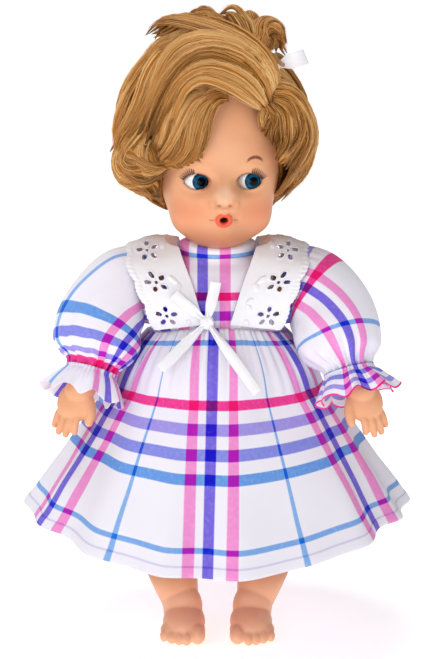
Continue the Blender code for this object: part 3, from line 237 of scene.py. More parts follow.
class Paint:
    """A material in the making, with one method that adds a node."""

    def __init__(self, name: str) -> None:
        """Starts a material with its own shader.

        Args:
            name: The material's name.
        """
        self.material = bpy.data.materials.new(name)
        self.material.use_nodes = True
        self.tree = self.material.node_tree
        self.shader = next(node for node in self.tree.nodes if node.type == "BSDF_PRINCIPLED")

    def link(self, value: Value, socket: bpy.types.NodeSocket) -> None:
        """Links a wire to a socket, or sets the socket's value."""
        if isinstance(value, Wire):
            self.tree.links.new(value.socket, socket)
        else:
            socket.default_value = value

    def node(
        self, kind: str, settings: Optional[dict] = None, inputs: Optional[dict] = None, output: int = 0,
    ) -> Wire:
        """Adds a node.

        Args:
            kind: The node's type.
            settings: Its settings, with a ramp's stops under "stops".
            inputs: The values or wires of its sockets, by name or place.
            output: The place of the socket to return.

        Returns:
            One of its outputs.
        """
        made = self.tree.nodes.new(kind)
        for key, value in (settings or {}).items():
            if key == "stops":
                ramp = made.color_ramp.elements
                while len(ramp) < len(value):
                    ramp.new(1.0)
                for element, (place, colour) in zip(ramp, value):
                    element.position = place
                    element.color = colour
            else:
                setattr(made, key, value)
        for key, value in (inputs or {}).items():
            self.link(value, made.inputs[key])
        return Wire(self, made.outputs[output])

    def surface(self, values: dict) -> bpy.types.Material:
        """Sets or links the shader's sockets.

        Args:
            values: Values or wires by the sockets' names.

        Returns:
            The finished material.
        """
        for key, value in values.items():
            self.link(value, self.shader.inputs[key])
        return self.material

    def mix(self, share: Value, first: Value, second: Value, blend: str = "MIX", clamp: bool = False) -> Wire:
        """Mixes two colours.

        Args:
            share: How much of the second colour.
            first: The colour below.
            second: The colour above.
            blend: How they mix.
            clamp: Whether the result is kept from 0 to 1.

        Returns:
            The mixed colour.
        """
        settings = {"data_type": "RGBA", "blend_type": blend, "clamp_result": clamp}
        return self.node("ShaderNodeMix", settings, {0: share, 6: first, 7: second}, 2)

    def places(self) -> Wire:
        """Object coordinates."""
        return self.node("ShaderNodeTexCoord", output=3)

    def local(self, origin: Sequence[float], turn: float) -> Wire:
        """Object coordinates about an origin, turned about the upright."""
        inputs = {"Vector": self.places(), "Location": origin, "Rotation": (0.0, 0.0, turn)}
        return self.node("ShaderNodeMapping", {"vector_type": "TEXTURE"}, inputs)

    def chart(self) -> Wire:
        """Metres on the flat chart of a cloth."""
        return self.node("ShaderNodeUVMap", {"uv_map": "cloth"})

    def split(self, kind: str, value: Wire) -> tuple[Wire, Wire, Wire]:
        """The three outputs of a node that takes a value apart.

        Args:
            kind: The node's type.
            value: The value.

        Returns:
            The outputs.
        """
        first = self.node(kind, inputs={0: value})
        outputs = first.socket.node.outputs
        return first, Wire(self, outputs[1]), Wire(self, outputs[2])

    def axes(self, vector: Wire) -> tuple[Wire, Wire, Wire]:
        """The three values of a vector."""
        return self.split("ShaderNodeSeparateXYZ", vector)

    def shares(self, colour: Wire) -> tuple[Wire, Wire, Wire]:
        """The red, green and blue of a colour."""
        return self.split("ShaderNodeSeparateColor", colour)

    def joined(self, *values: Value) -> Wire:
        """A vector of up to three values."""
        return self.node("ShaderNodeCombineXYZ", inputs=dict(enumerate(values)))

    def threads(self, u: Wire, v: Wire, count: float) -> Wire:
        """The crossed threads of a woven cloth, from -1 to 1."""
        return (u * count).math("SINE") * (v * count).math("SINE")

    def cloud(self, vector: Wire, scale: float, detail: float = 2.0) -> Wire:
        """Noise from 0 to 1.

        Args:
            vector: Where it is read.
            scale: Its grains in a metre.
            detail: How many finer layers it has.

        Returns:
            The noise.
        """
        return self.node("ShaderNodeTexNoise", inputs={"Vector": vector, "Scale": scale, "Detail": detail})

    def bump(self, height: Wire, distance: float, strength: float = 1.0) -> Wire:
        """The normal of a surface raised by a height."""
        inputs = {"Height": height, "Distance": distance, "Strength": strength}
        return self.node("ShaderNodeBump", inputs=inputs)


@dataclass(frozen=True)
class PlainFinish:
    """One colour with a fine grain, for the working parts inside."""

    name: str
    colour: str
    roughness: float
    metallic: float = 0.0
    grain: float = 900.0
    depth: float = 0.78

    def material(self) -> bpy.types.Material:
        """Makes the material."""
        paint = Paint(self.name)
        speck = paint.cloud(paint.places(), self.grain)
        tint = linear(self.colour)
        deep = (*(share * self.depth for share in tint[:3]), 1.0)
        return paint.surface({
            "Base Color": paint.mix(speck, deep, tint),
            "Roughness": speck * 0.2 + (self.roughness - 0.1),
            "Metallic": self.metallic,
        })


@dataclass(frozen=True)
class VinylSkin:
    """Soft satin vinyl, a little mottled."""

    name: str = "vinyl_skin"
    light: str = "F2B388"
    deep: str = "DE9468"
    roughness: float = 0.46
    mottle: float = 60.0
    pores: float = 1400.0
    # Painted light: a lighter colour blended in towards the floor, where the feet stand in the skirt's shade.
    foot: str = ""
    foot_fade: tuple = (0.038, 0.020)
    foot_painted_light_strength: float = 0.92

    def base(self, paint: Paint) -> tuple[Wire, Wire]:
        """The skin's colour and the grain of its surface.

        Args:
            paint: The material in the making.

        Returns:
            The colour, and the grain from 0 to 1.
        """
        spot = paint.places()
        mottle = paint.cloud(spot, self.mottle).step(0.3, 0.75)
        grain = paint.cloud(spot, self.pores)
        colour = paint.mix(mottle * 0.3 + 0.25, linear(self.light), linear(self.deep))
        # Painted light: the lowest part is lightened towards the foot colour.
        if self.foot:
            low = paint.axes(spot)[2].step(*self.foot_fade)
            colour = paint.mix(low * self.foot_painted_light_strength, colour, linear(self.foot))
        return colour, grain

    def shine(self, paint: Paint, colour: Wire, grain: Wire) -> bpy.types.Material:
        """Lays a colour on the vinyl.

        Args:
            paint: The material in the making.
            colour: The colour.
            grain: The grain of the surface.

        Returns:
            The finished material.
        """
        return paint.surface({
            "Base Color": colour,
            "Roughness": grain * 0.12 + (self.roughness - 0.06),
            "Normal": paint.bump(grain, 0.00002, 0.5),
            "Specular IOR Level": 0.42,
        })

    def material(self) -> bpy.types.Material:
        """Makes the material."""
        paint = Paint(self.name)
        return self.shine(paint, *self.base(paint))


@dataclass(frozen=True)
class PaintedFace(VinylSkin):
    """Vinyl with sprayed cheeks and lips and fine painted brows, in the head's own frame, with painted shade
    under the lips, round the nose, along the lid edges and in the mouth's corners, and a painted highlight on
    the nose.
    """

    name: str = "painted_face"
    lips: str = "E8593C"
    mouth: str = "4A150E"
    blush: str = "DC7248"
    # Painted shade: the colour laid under the lips and chin, beside the nose wings and under the nose.
    under: str = "B8714C"
    # Painted highlight laid on the ridge and tip of the nose.
    tip: str = "FFD6B8"
    brow: str = "7E402C"
    # Painted shade along the edges of the eye openings, in the creases at the mouth's corners and in the
    # nostrils.
    crease_shade: str = "70382A"
    # Reach across, reach up and strength of each soft spot: sprayed blush on the cheeks and chin, a painted
    # highlight on the ridge of the nose, and painted shade by the nose wings, under the nose and in the
    # nostrils.
    cheek: tuple = (0.0110, 0.0088, 0.55)
    chin: tuple = (0.0080, 0.0050, 0.35)
    bridge_highlight: tuple = (0.0042, 0.0042, 0.65)
    wing: tuple = (0.0011, 0.0024, 0.42)
    nose_shade: tuple = (0.0048, 0.0011, 0.55)
    nostril: tuple = (0.0011, 0.0008, 0.75)
    chin_up: float = 0.0015
    bridge_highlight_up: float = 0.0028
    wing_shade_from: tuple = (0.0020, 0.0014)
    shade_down: float = 0.0012
    under_shade_fade: tuple = (0.001, -0.012)
    under_shade_strength: float = 0.75
    front_from: tuple = (-0.018, -0.026)
    lid_shade_reach: float = 0.13
    brow_hairs: float = 1600.0
    brow_width: tuple = (0.00115, 0.00055)
    brow_length: tuple = (0.0054, 0.0030)
    lip_bow: tuple = (0.0014, 0.0009, 0.0010)
    lip_edge: tuple = (1.10, 0.92)
    lip_strength: float = 0.92
    hole_edge: tuple = (1.25, 0.80)
    smile_x: float = 0.0064
    smile_length: tuple = (0.0016, 0.0006)
    smile_up: float = 0.0002
    smile_width: float = 0.00035
    smile_shade_strength: float = 0.6

    def face_material(self, head: "Head") -> bpy.types.Material:
        """Makes the material.

        Args:
            head: The head that it is painted on.

        Returns:
            The material.
        """
        paint = Paint(self.name)
        colour, grain = self.base(paint)
        place = paint.local(head.base, head.turn)
        x, y, z = paint.axes(place)
        front = y.step(*self.front_from)
        wide = abs(x)
        wing, nostril = wide - head.nostril_x, z - head.nostril_z
        aside, lift, drop = wide - head.eye_x, z - head.eye_z, z - head.mouth_z

        def spot(across: Wire, up: Wire, size: Triple) -> Wire:
            """A soft spot on the front of the face, by its reach across and up and its strength."""
            return across.bell(size[0]) * up.bell(size[1]) * front * size[2]

        def ring(across: Wire, half_width: float, up: Wire, half_height: float) -> Wire:
            """How far out a place lies on an oval, 1 on its edge."""
            return ((across * (1 / half_width)) ** 2 + (up * (1 / half_height)) ** 2).math("SQRT")

        # Painted shade below the mouth and over the chin.
        under = z.step(*(head.mouth_z + up for up in self.under_shade_fade)) * self.under_shade_strength
        # Painted shade round the eye openings, stronger along the upper lid.
        rim = (ring(aside, head.open_x, lift, head.open_z) - 1.0).bell(self.lid_shade_reach) * front
        arch = aside - head.brow_out
        height = lift - head.brow_up + arch * arch * head.brow_bend
        hairs = paint.cloud(place, self.brow_hairs).step(0.3, 0.6)
        stroke = abs(height).step(*self.brow_width) * abs(arch).step(*self.brow_length) * front
        bow_reach, bow_depth, bow_fade = self.lip_bow
        bow = x.bell(bow_reach) * bow_depth * drop.step(0.0, bow_fade)
        lips = ring(x, head.lip_x, drop + bow, head.lip_z).step(*self.lip_edge) * front * self.lip_strength
        hole = ring(x, head.hole_x, drop, head.hole_z).step(*self.hole_edge) * front
        # Painted shade in the creases at the mouth's corners.
        smile_shade = (drop + self.smile_up).bell(self.smile_width)
        smile_shade = abs(wide - self.smile_x).step(*self.smile_length) * smile_shade
        coats = (
            (spot(wide - head.blush_x, z - head.blush_z, self.cheek), self.blush),
            (spot(x, z - self.chin_up, self.chin), self.blush),
            # Painted shade under the lips and chin.
            (under, self.under),
            # Painted highlight on the ridge and tip of the nose.
            (spot(x, z - head.nose_z - self.bridge_highlight_up, self.bridge_highlight), self.tip),
            # Painted shade beside the nose wings.
            (spot(wing - self.wing_shade_from[0], nostril - self.wing_shade_from[1], self.wing), self.under),
            (spot(x, nostril + self.shade_down, self.nose_shade), self.under),
            # Painted shade along the lid edges.
            (rim * (lift.step(-0.001, 0.002) * 0.6 + 0.3), self.crease_shade),
            (stroke * (hairs * 0.2 + 0.8), self.brow),
            (lips, self.lips),
            (hole, self.mouth),
            # Painted shade in the creases at the mouth's corners.
            (smile_shade * front * self.smile_shade_strength, self.crease_shade),
            # Painted shade in the nostrils.
            (spot(wing, nostril, self.nostril), self.crease_shade),
        )
        for mask, code in coats:
            colour = paint.mix(mask, colour, linear(code))
        return self.shine(paint, colour, grain)


@dataclass(frozen=True)
class EyeWhite:
    """Glossy white with the sleeping lid painted over its top."""

    white: str = "F2F0EE"
    vein: str = "C9B4AC"
    lid: str = "DE9F7C"
    lid_from: float = 0.0042
    lid_edge: float = 0.0001

    def material(self, name: str, centre: Vector, turn: float) -> bpy.types.Material:
        """Makes the material.

        Args:
            name: The material's name.
            centre: The middle of the eye.
            turn: How far the head is turned.

        Returns:
            The material.
        """
        paint = Paint(name)
        place = paint.local(centre, turn)
        lid = paint.axes(place)[2].step(self.lid_from - self.lid_edge, self.lid_from + self.lid_edge)
        vein = paint.cloud(place, 300.0) * 0.06
        white = paint.mix(vein, linear(self.white), linear(self.vein))
        return paint.surface({
            "Base Color": paint.mix(lid, white, linear(self.lid)),
            "Roughness": lid * 0.3 + 0.12,
            "Coat Weight": 0.4,
        })


@dataclass(frozen=True)
class IrisPrint:
    """A printed blue iris with fine spokes, a dark rim and a black pupil."""

    bright: str = "15678F"
    deep: str = "093452"
    rim: str = "061420"
    pupil: str = "020203"
    pupil_share: float = 0.48
    pupil_edge: float = 0.06
    rim_fade: tuple = (0.72, 0.98)
    spokes: float = 2600.0

    def material(self, name: str, centre: Vector, turn: float, radius: float) -> bpy.types.Material:
        """Makes the material.

        Args:
            name: The material's name.
            centre: The middle of the eye.
            turn: Where the eye looks, about the upright.
            radius: The iris's radius.

        Returns:
            The material.
        """
        paint = Paint(name)
        x, _, z = paint.axes(paint.local(centre, turn))
        out = (x * x + z * z).math("SQRT") * (1 / radius)
        around = paint.joined(x / out, z / out, out * 0.0006)
        spokes = paint.cloud(around, self.spokes, 3.0).step(0.32, 0.68)
        pupil = out.step(self.pupil_share + self.pupil_edge, self.pupil_share)
        blue = paint.mix(spokes, linear(self.deep), linear(self.bright))
        blue = paint.mix(out.step(*self.rim_fade), blue, linear(self.rim))
        blue = paint.mix(pupil, blue, linear(self.pupil))
        return paint.surface({"Base Color": blue, "Roughness": 0.08, "Specular IOR Level": 0.12})


@dataclass(frozen=True)
class Plaid:
    """White cotton with woven pink, violet and blue stripes; the chart is in metres."""

    period: float = 0.105
    uprights: tuple = (
        (-0.0200, 0.0056, "7A6BE0"), (-0.0100, 0.0058, "FF9AD6"), (0.0000, 0.0056, "7A6BE0"),
        (0.0120, 0.0058, "FF9AD6"), (0.0520, 0.0034, "8ABBEF"),
    )
    levels: tuple = (
        (0.0075, 0.0029, "80B3ED"), (0.0421, 0.0055, "FF3D94"), (0.0553, 0.0065, "A79CEA"),
        (0.0689, 0.0064, "8A92E8"), (0.0820, 0.0059, "6AA2E8"), (0.1193, 0.0030, "80B3ED"),
    )
    cloth: str = "F4F0FB"
    crossing: str = "C808B4"
    crossing_strength: float = 0.75
    edge: float = 0.00035
    length: float = 0.5
    slubs: float = 420.0
    creases: float = 70.0
    thread_count: float = 12000.0

    def stripes(self, paint: Paint, place: Wire, period: float, rows: tuple, wear: Wire) -> Wire:
        """White crossed by one set of stripes.

        Args:
            paint: The material in the making.
            place: Metres across the set.
            period: Where the set starts again.
            rows: Each stripe's middle, width and colour.
            wear: How strong the dye is.

        Returns:
            The colour, in screen shares.
        """
        colour: Value = WHITE
        for middle, width, code in rows:
            away = abs((place + (period * 1.5 - middle)).math("FLOORED_MODULO", period) - period * 0.5)
            mask = away.step(width / 2 + self.edge, width / 2 - self.edge) * wear
            colour = paint.mix(mask, colour, screen(code))
        return colour

    def material(self, name: str) -> bpy.types.Material:
        """Makes the material on the cloth's own chart.

        Args:
            name: The material's name.

        Returns:
            The material.
        """
        paint = Paint(name)
        chart = paint.chart()
        u, v, _ = paint.axes(chart)
        slub = paint.cloud(chart, self.slubs, 3.0)
        wear = slub.step(0.1, 0.62) * 0.22 + 0.78
        upright = self.stripes(paint, u, self.period, self.uprights, wear)
        level = self.stripes(paint, v, self.length, self.levels, wear)
        both = paint.mix(1.0, upright, level, "ADD")
        crossed = paint.mix(1.0, both, WHITE, "SUBTRACT", clamp=True)
        red, green, _ = paint.shares(upright)
        warm = (red - green).step(0.05, 0.35)
        cool = paint.shares(level)[0].step(0.90, 0.62)
        dyed = paint.mix(warm * cool * self.crossing_strength, crossed, screen(self.crossing))
        tinted = paint.mix(1.0, dyed, screen(self.cloth), "MULTIPLY")
        colour = paint.node("ShaderNodeGamma", inputs={0: tinted, 1: GAMMA})
        crease = paint.cloud(chart, self.creases, 3.0)
        height = paint.threads(u, v, self.thread_count) * 0.06 + slub * 0.2 + crease
        return paint.surface({
            "Base Color": colour,
            "Roughness": 0.82,
            "Normal": paint.bump(height, 0.0005, 0.35),
            "Sheen Weight": 0.12,
            "Specular IOR Level": 0.2,
        })


@dataclass(frozen=True)
class EyeletCotton:
    """White embroidered cotton."""

    name: str = "eyelet_cotton"
    light: str = "FFFEFF"
    deep: str = "F6F4FC"
    thread_count: float = 9000.0
    creases: float = 260.0

    def material(self) -> bpy.types.Material:
        """Makes the material."""
        paint = Paint(self.name)
        chart = paint.chart()
        u, v, _ = paint.axes(chart)
        threads = paint.threads(u, v, self.thread_count)
        cloud = paint.cloud(chart, self.creases, 3.0)
        return paint.surface({
            "Base Color": paint.mix(cloud, linear(self.light), linear(self.deep)),
            "Roughness": 0.8,
            "Normal": paint.bump(threads * 0.25 + cloud, 0.0002, 0.5),
            "Sheen Weight": 0.1,
        })


@dataclass(frozen=True)
class SatinRibbon:
    """White satin with its threads running along the ribbon."""

    name: str = "satin_ribbon"
    light: str = "FFFFFF"
    deep: str = "EDEBF4"
    thread_count: float = 900.0

    def material(self) -> bpy.types.Material:
        """Makes the material."""
        paint = Paint(self.name)
        u, v, _ = paint.axes(paint.chart())
        thread = paint.cloud(paint.joined(u * 6.0, v * 0.3), self.thread_count)
        return paint.surface({
            "Base Color": paint.mix(thread, linear(self.light), linear(self.deep)),
            "Roughness": thread * 0.15 + 0.3,
            "Normal": paint.bump(thread, 0.00005, 0.4),
            "Sheen Weight": 0.2,
        })


@dataclass(frozen=True)
class HairFibre:
    """Glossy honey-blond fibre; each strand has its own tone, which also carries painted shade and light by
    its depth in the hair.
    """

    dark: str = "42200A"
    middle: str = "CC833A"
    light: str = "FFD592"
    fibres: float = 1800.0
    stretch: float = 0.06

    def material(self, name: str, streaks: float = 0.0) -> bpy.types.Material:
        """Makes the material.

        Args:
            name: The material's name.
            streaks: How strongly fibres are drawn on it along its chart.

        Returns:
            The material.
        """
        paint = Paint(name)
        tone = paint.node("ShaderNodeAttribute", {"attribute_name": "tone"}, output=2)
        values: dict = {"Roughness": 0.36, "Specular IOR Level": 0.8, "Specular Tint": linear(self.light)}
        if streaks:
            u, v, _ = paint.axes(paint.chart())
            fibre = paint.cloud(paint.joined(u, v * self.stretch), self.fibres, 3.0)
            tone = tone + (fibre - 0.5) * streaks
            values["Normal"] = paint.bump(fibre, 0.0004, 0.7)
        stops = ((0.0, linear(self.dark)), (0.5, linear(self.middle)), (1.0, linear(self.light)))
        colour = paint.node("ShaderNodeValToRGB", {"stops": stops}, {0: tone})
        return paint.surface({"Base Color": colour, **values})


def place_piece(name: str, shape: bmesh.types.BMesh) -> bpy.types.Object:
    """Turns a bmesh into a smooth-shaded piece at the origin.

    Args:
        name: The piece's name.
        shape: The bmesh, which is used up.

    Returns:
        The piece.
    """
    mesh = bpy.data.meshes.new(name)
    shape.to_mesh(mesh)
    shape.free()
    mesh.shade_smooth()
    piece = bpy.data.objects.new(name, mesh)
    bpy.context.scene.collection.objects.link(piece)
    return piece


def settle(piece: bpy.types.Object) -> bpy.types.Object:
    """Applies a piece's modifiers and takes them off.

    Args:
        piece: The piece.

    Returns:
        The piece.
    """
    graph = bpy.context.evaluated_depsgraph_get()
    mesh = bpy.data.meshes.new_from_object(piece.evaluated_get(graph), depsgraph=graph)
    old = piece.data
    piece.modifiers.clear()
    piece.data = mesh
    bpy.data.meshes.remove(old)
    mesh.shade_smooth()
    return piece


def dress(piece: bpy.types.Object, material: bpy.types.Material) -> bpy.types.Object:
    """Gives a piece its one material.

    Args:
        piece: The piece.
        material: The material.

    Returns:
        The piece.
    """
    piece.data.materials.clear()
    piece.data.materials.append(material)
    return piece


def seat(piece: bpy.types.Object, body: str, *nodes: str) -> bpy.types.Object:
    """Rides a piece on a body in place of CAD nodes.

    Args:
        piece: The piece.
        body: The body that carries it.
        nodes: The nodes that it stands in for.

    Returns:
        The piece.
    """
    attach(piece, body)
    if nodes:
        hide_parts(*nodes)
    LOG.info("%s on %s: %d faces", piece.name, body, len(piece.data.polygons))
    return piece


def patch(
    across: int, rows: int, spot: Spot, chart: Optional[Chart] = None, round_about: bool = False,
) -> bmesh.types.BMesh:
    """A grid laid over a surface, with the cloth's flat chart on it.

    Args:
        across: Cells across.
        rows: Cells along.
        spot: The surface's point at two shares from 0 to 1.
        chart: Metres on the flat cloth at the same shares.
        round_about: Whether its two long edges meet.

    Returns:
        The grid.
    """
    shape = bmesh.new()
    layer = shape.loops.layers.uv.new("cloth")
    bmesh.ops.create_grid(shape, x_segments=across, y_segments=rows, size=0.5)
    shares = {corner: (corner.co.x + 0.5, corner.co.y + 0.5) for corner in shape.verts}
    for face in shape.faces:
        for loop in face.loops:
            share = shares[loop.vert]
            loop[layer].uv = chart(*share) if chart else share
    for corner, share in shares.items():
        corner.co = spot(*share)
    if round_about:
        bmesh.ops.remove_doubles(shape, verts=shape.verts, dist=1e-7)
    return shape


def closed(across: int, rows: int, spot: Spot, chart: Optional[Chart] = None) -> bmesh.types.BMesh:
    """A grid that closes round about, with its faces turned outwards.

    Args:
        across: Cells round about.
        rows: Cells along.
        spot: The surface's point at two shares from 0 to 1.
        chart: Metres on the flat cloth at the same shares.

    Returns:
        The grid.
    """
    shape = patch(across, rows, spot, chart, True)
    bmesh.ops.recalc_face_normals(shape, faces=shape.faces)
    return shape


def thicken(name: str, shape: bmesh.types.BMesh, thickness: float) -> bpy.types.Object:
    """Makes a cloth of a surface, with its thickness half to each side.

    Args:
        name: The cloth's name.
        shape: The surface, which is used up.
        thickness: The cloth's thickness.

    Returns:
        The cloth.
    """
    piece = place_piece(name, shape)
    wall = piece.modifiers.new("cloth", "SOLIDIFY")
    wall.thickness = thickness
    wall.offset = 0.0
    return settle(piece)


def ball(
    centre: Sequence[float], sizes: Sequence[float], turn: Optional[Matrix] = None,
) -> bmesh.types.BMesh:
    """A closed ball with three half sizes.

    Args:
        centre: Its middle.
        sizes: Its half sizes.
        turn: How it is turned.

    Returns:
        The ball.
    """
    shape = bmesh.new()
    matrix = Matrix.Translation(centre) @ (turn or Matrix.Identity(4)) @ Matrix.Diagonal((*sizes, 1.0))
    bmesh.ops.create_uvsphere(shape, u_segments=32, v_segments=20, radius=1.0, matrix=matrix)
    return shape


def limb(stations: Sequence[Vector]) -> bmesh.types.BMesh:
    """A closed limb through stations of place and radius.

    Args:
        stations: The stations.

    Returns:
        The limb.
    """
    cap = 0.02

    def spot(around: float, share: float) -> Vector:
        """A point of the limb, drawn together at both ends.

        Args:
            around: The share of a turn.
            share: The share of the length.

        Returns:
            The point.
        """
        inner = clamp((share - cap * 2) / 0.92)
        here = along(stations, inner)
        heading = heading_along(stations, inner, cap).to_3d()
        axes = cross_axes(heading.normalized(), Vector((0, 1, 0.01)))
        radius = here[3] if cap < share < 1 - cap else 0.0
        return here.to_3d() + spoke(axes, tau * around) * radius

    return closed(32, 50, spot)


def absorb(whole: bmesh.types.BMesh, part: bmesh.types.BMesh) -> None:
    """Adds one bmesh to another and frees it.

    Args:
        whole: The bmesh that grows.
        part: The bmesh that is used up.
    """
    mesh = bpy.data.meshes.new("part")
    part.to_mesh(mesh)
    part.free()
    whole.from_mesh(mesh)
    bpy.data.meshes.remove(mesh)


def flesh(name: str, lumps: Sequence[bmesh.types.BMesh], voxel: float, rounds: int) -> bpy.types.Object:
    """Blends overlapping lumps into one soft skin.

    Args:
        name: The piece's name.
        lumps: The lumps, which are used up.
        voxel: The size of the skin's cells.
        rounds: How often it is smoothed.

    Returns:
        The piece.
    """
    whole = bmesh.new()
    for lump in lumps:
        absorb(whole, lump)
    piece = place_piece(name, whole)
    skin = piece.modifiers.new("skin", "REMESH")
    skin.mode = "VOXEL"
    skin.voxel_size = voxel
    soften = piece.modifiers.new("soften", "SMOOTH")
    soften.iterations = rounds
    return settle(piece)


def carve(piece: bpy.types.Object, cutter: bmesh.types.BMesh) -> None:
    """Cuts a closed form out of a piece.

    Args:
        piece: The piece.
        cutter: The form, which is used up.
    """
    tool = place_piece("cutter", cutter)
    knife = piece.modifiers.new("cut", "BOOLEAN")
    knife.operation = "DIFFERENCE"
    knife.solver = "EXACT"
    knife.object = tool
    settle(piece)
    mesh = tool.data
    bpy.data.objects.remove(tool)
    bpy.data.meshes.remove(mesh)


def bar(
    centre: Vector, axes: tuple[Vector, Vector, Vector], half: float, outline: Outline, steps: int = 48,
) -> bmesh.types.BMesh:
    """A straight closed bar of any outline.

    Args:
        centre: Its middle.
        axes: The outline's two directions and the bar's own.
        half: Half its length.
        outline: The outline's two distances at a share of a turn.
        steps: Corners of the outline.

    Returns:
        The bar.
    """
    shape = bmesh.new()
    ring = bmesh.ops.create_circle(shape, cap_ends=True, segments=steps, radius=1.0)["verts"]
    for index, corner in enumerate(ring):
        one, two = outline(index / steps)
        corner.co = centre + axes[0] * one + axes[1] * two - axes[2] * half
    grown = bmesh.ops.extrude_face_region(shape, geom=shape.faces[:])["geom"]
    corners = [part for part in grown if isinstance(part, bmesh.types.BMVert)]
    bmesh.ops.translate(shape, verts=corners, vec=axes[2] * half * 2)
    bmesh.ops.recalc_face_normals(shape, faces=shape.faces)
    return shape


def joint_place(name: str) -> Vector:
    """Where a joint of the frame sits."""
    return Vector(next(joint["pos_m"] for joint in frame["joints"] if joint["name"] == name))


def node_middle(name: str) -> Vector:
    """The middle of a CAD node's box."""
    low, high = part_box(name)
    return (low + high) / 2


def lift_lap(piece: bpy.types.Object, node: str) -> None:
    """Bakes the placement of a cloth over the lap into its mesh and hides the CAD node that it stands for.

    Args:
        piece: The cloth.
        node: The CAD node that it stands for.
    """
    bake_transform(piece)
    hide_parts(node)
    LOG.info("%s over the lap", piece.name)


def bend_piece(piece: bpy.types.Object, side: Side, start: float, end: float) -> None:
    """Bakes the placement of a cloth between the torso and an arm into its mesh.

    Args:
        piece: The cloth.
        side: The arm's side.
        start: Not used; distance from the middle where it would start to follow the arm.
        end: Not used; distance where it would follow the arm alone.
    """
    side.value * start
    side.value * end
    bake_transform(piece)
    LOG.info("%s between torso and %s arm", piece.name, side.word)


@dataclass
class Studio:
    """A plain pale floor, soft light and the camera."""

    distance: float = 1.0
    height: float = 0.36
    pitch: float = radians(10.6)
    lens: float = 100.57
    aside: float = 0.0011
    ambient: float = 0.24
    floor_glow: tuple = (0.57, 0.80)
    glow_reach: tuple = (0.10, 0.55)
    floor_size: float = 60.0
    floor_colours: tuple = ("FFFFFF", "FBFBFB")
    aim: tuple = (0.0, 0.0, 0.18)
    # Name, place, width and watts of each lamp.
    lamps: tuple = (
        ("key", (-0.80, -1.30, 0.90), 0.9, 6.8),
        ("fill", (0.20, -1.40, 0.20), 0.6, 3.2),
        ("top", (-0.20, 0.10, 1.50), 0.8, 9.0),
    )

    def build(self) -> None:
        """Makes the floor, the lights and the camera."""
        bpy.context.scene.view_settings.view_transform = "Standard"
        self.floor()
        self.world()
        for name, place, size, power in self.lamps:
            self.lamp(name, place, size, power)
        self.camera()

    def floor(self) -> None:
        """Lays the pale floor, a little duller round the doll."""
        shape = bmesh.new()
        bmesh.ops.create_grid(shape, x_segments=1, y_segments=1, size=self.floor_size)
        floor = place_piece("floor", shape)
        paint = Paint("pale_floor")
        spot = paint.places()
        pale = paint.mix(paint.cloud(spot, 3.0), *(linear(code) for code in self.floor_colours))
        away = paint.node("ShaderNodeVectorMath", {"operation": "LENGTH"}, {0: spot}, output=1)
        near, far = ((value, value, value, 1.0) for value in self.floor_glow)
        glow = paint.mix(away.step(*self.glow_reach), near, far)
        dress(floor, paint.surface({
            "Base Color": pale, "Roughness": 0.9, "Emission Color": glow, "Emission Strength": 1.0,
        }))

    def world(self) -> None:
        """Surrounds the doll with white that looks brighter than it shines."""
        world = bpy.data.worlds.new("studio")
        world.use_nodes = True
        tree = world.node_tree
        back = tree.nodes["Background"]
        back.inputs["Color"].default_value = WHITE
        rays = tree.nodes.new("ShaderNodeLightPath")
        power = tree.nodes.new("ShaderNodeMapRange")
        power.inputs["To Min"].default_value = self.ambient
        tree.links.new(rays.outputs["Is Camera Ray"], power.inputs["Value"])
        tree.links.new(power.outputs["Result"], back.inputs["Strength"])
        bpy.context.scene.world = world

    def camera(self) -> None:
        """Sets up the camera that was fitted to the photograph."""
        scene = bpy.context.scene
        lens = bpy.data.cameras.new("camera")
        lens.lens = self.lens
        lens.sensor_width = 36.0
        lens.clip_start = 0.01
        camera = bpy.data.objects.new("camera", lens)
        camera.location = (self.aside, -self.distance, self.height)
        camera.rotation_euler = (pi / 2 - self.pitch, 0.0, 0.0)
        scene.collection.objects.link(camera)
        scene.camera = camera

    def lamp(self, name: str, place: Sequence[float], size: float, power: float) -> None:
        """Adds a soft lamp that looks at the doll's middle.

        Args:
            name: The lamp's name.
            place: Where it stands.
            size: Its width.
            power: Its power in watts.
        """
        light = bpy.data.lights.new(name, "AREA")
        light.size = size
        light.energy = power
        lamp = bpy.data.objects.new(name, light)
        lamp.location = place
        lamp.rotation_euler = (Vector(self.aim) - Vector(place)).to_track_quat("-Z", "Y").to_euler()
        bpy.context.scene.collection.objects.link(lamp)


@dataclass
class Torso:
    """The bare body that the dress hangs on."""

    hips: float = 0.110
    height: float = 0.1035
    half_width: float = 0.0345
    front: float = 0.0315
    back: float = 0.0280
    outline: tuple = (
        (0.480, 0.98, 0.99, 0.92), (0.620, 0.99, 0.96, 0.94), (0.760, 1.00, 0.90, 0.95),
        (0.870, 1.00, 0.82, 0.90), (0.930, 0.93, 0.74, 0.84), (0.970, 0.74, 0.63, 0.72),
    )

    @property
    def neck_foot(self) -> float:
        """Height of the foot of the neck."""
        return self.hips + self.height

    def size(self, height: float) -> tuple[float, float, float]:
        """Half width, front and back at a height.

        Args:
            height: The height.

        Returns:
            The three sizes.
        """
        share = (height - self.hips) / self.height
        rows = self.outline
        index = next((k for k in range(len(rows) - 2) if share <= rows[k + 1][0]), len(rows) - 2)
        low, high = rows[index], rows[index + 1]
        mix = clamp((share - low[0]) / (high[0] - low[0]))
        width, front, back = (a + (b - a) * mix for a, b in zip(low[1:], high[1:]))
        return self.half_width * width, self.front * front, self.back * back

    def depth(self, x: float, height: float, grow: float, behind: bool = False) -> float:
        """Depth of the chest or back at a place.

        Args:
            x: How far the place is to the side.
            height: Its height.
            grow: How far the body is grown.
            behind: Whether it is on the back.

        Returns:
            The depth, negative in front.
        """
        width, front, back = self.size(height)
        share = sqrt(1 - min(abs(x) / (width + grow), 0.98) ** 2)
        return (back + grow) * share if behind else -(front + grow) * share

    def build(self) -> None:
        """Dresses the bare torso, which the dress covers."""
        dress(frame["nodes"]["torso"], VinylSkin("body_vinyl").material())


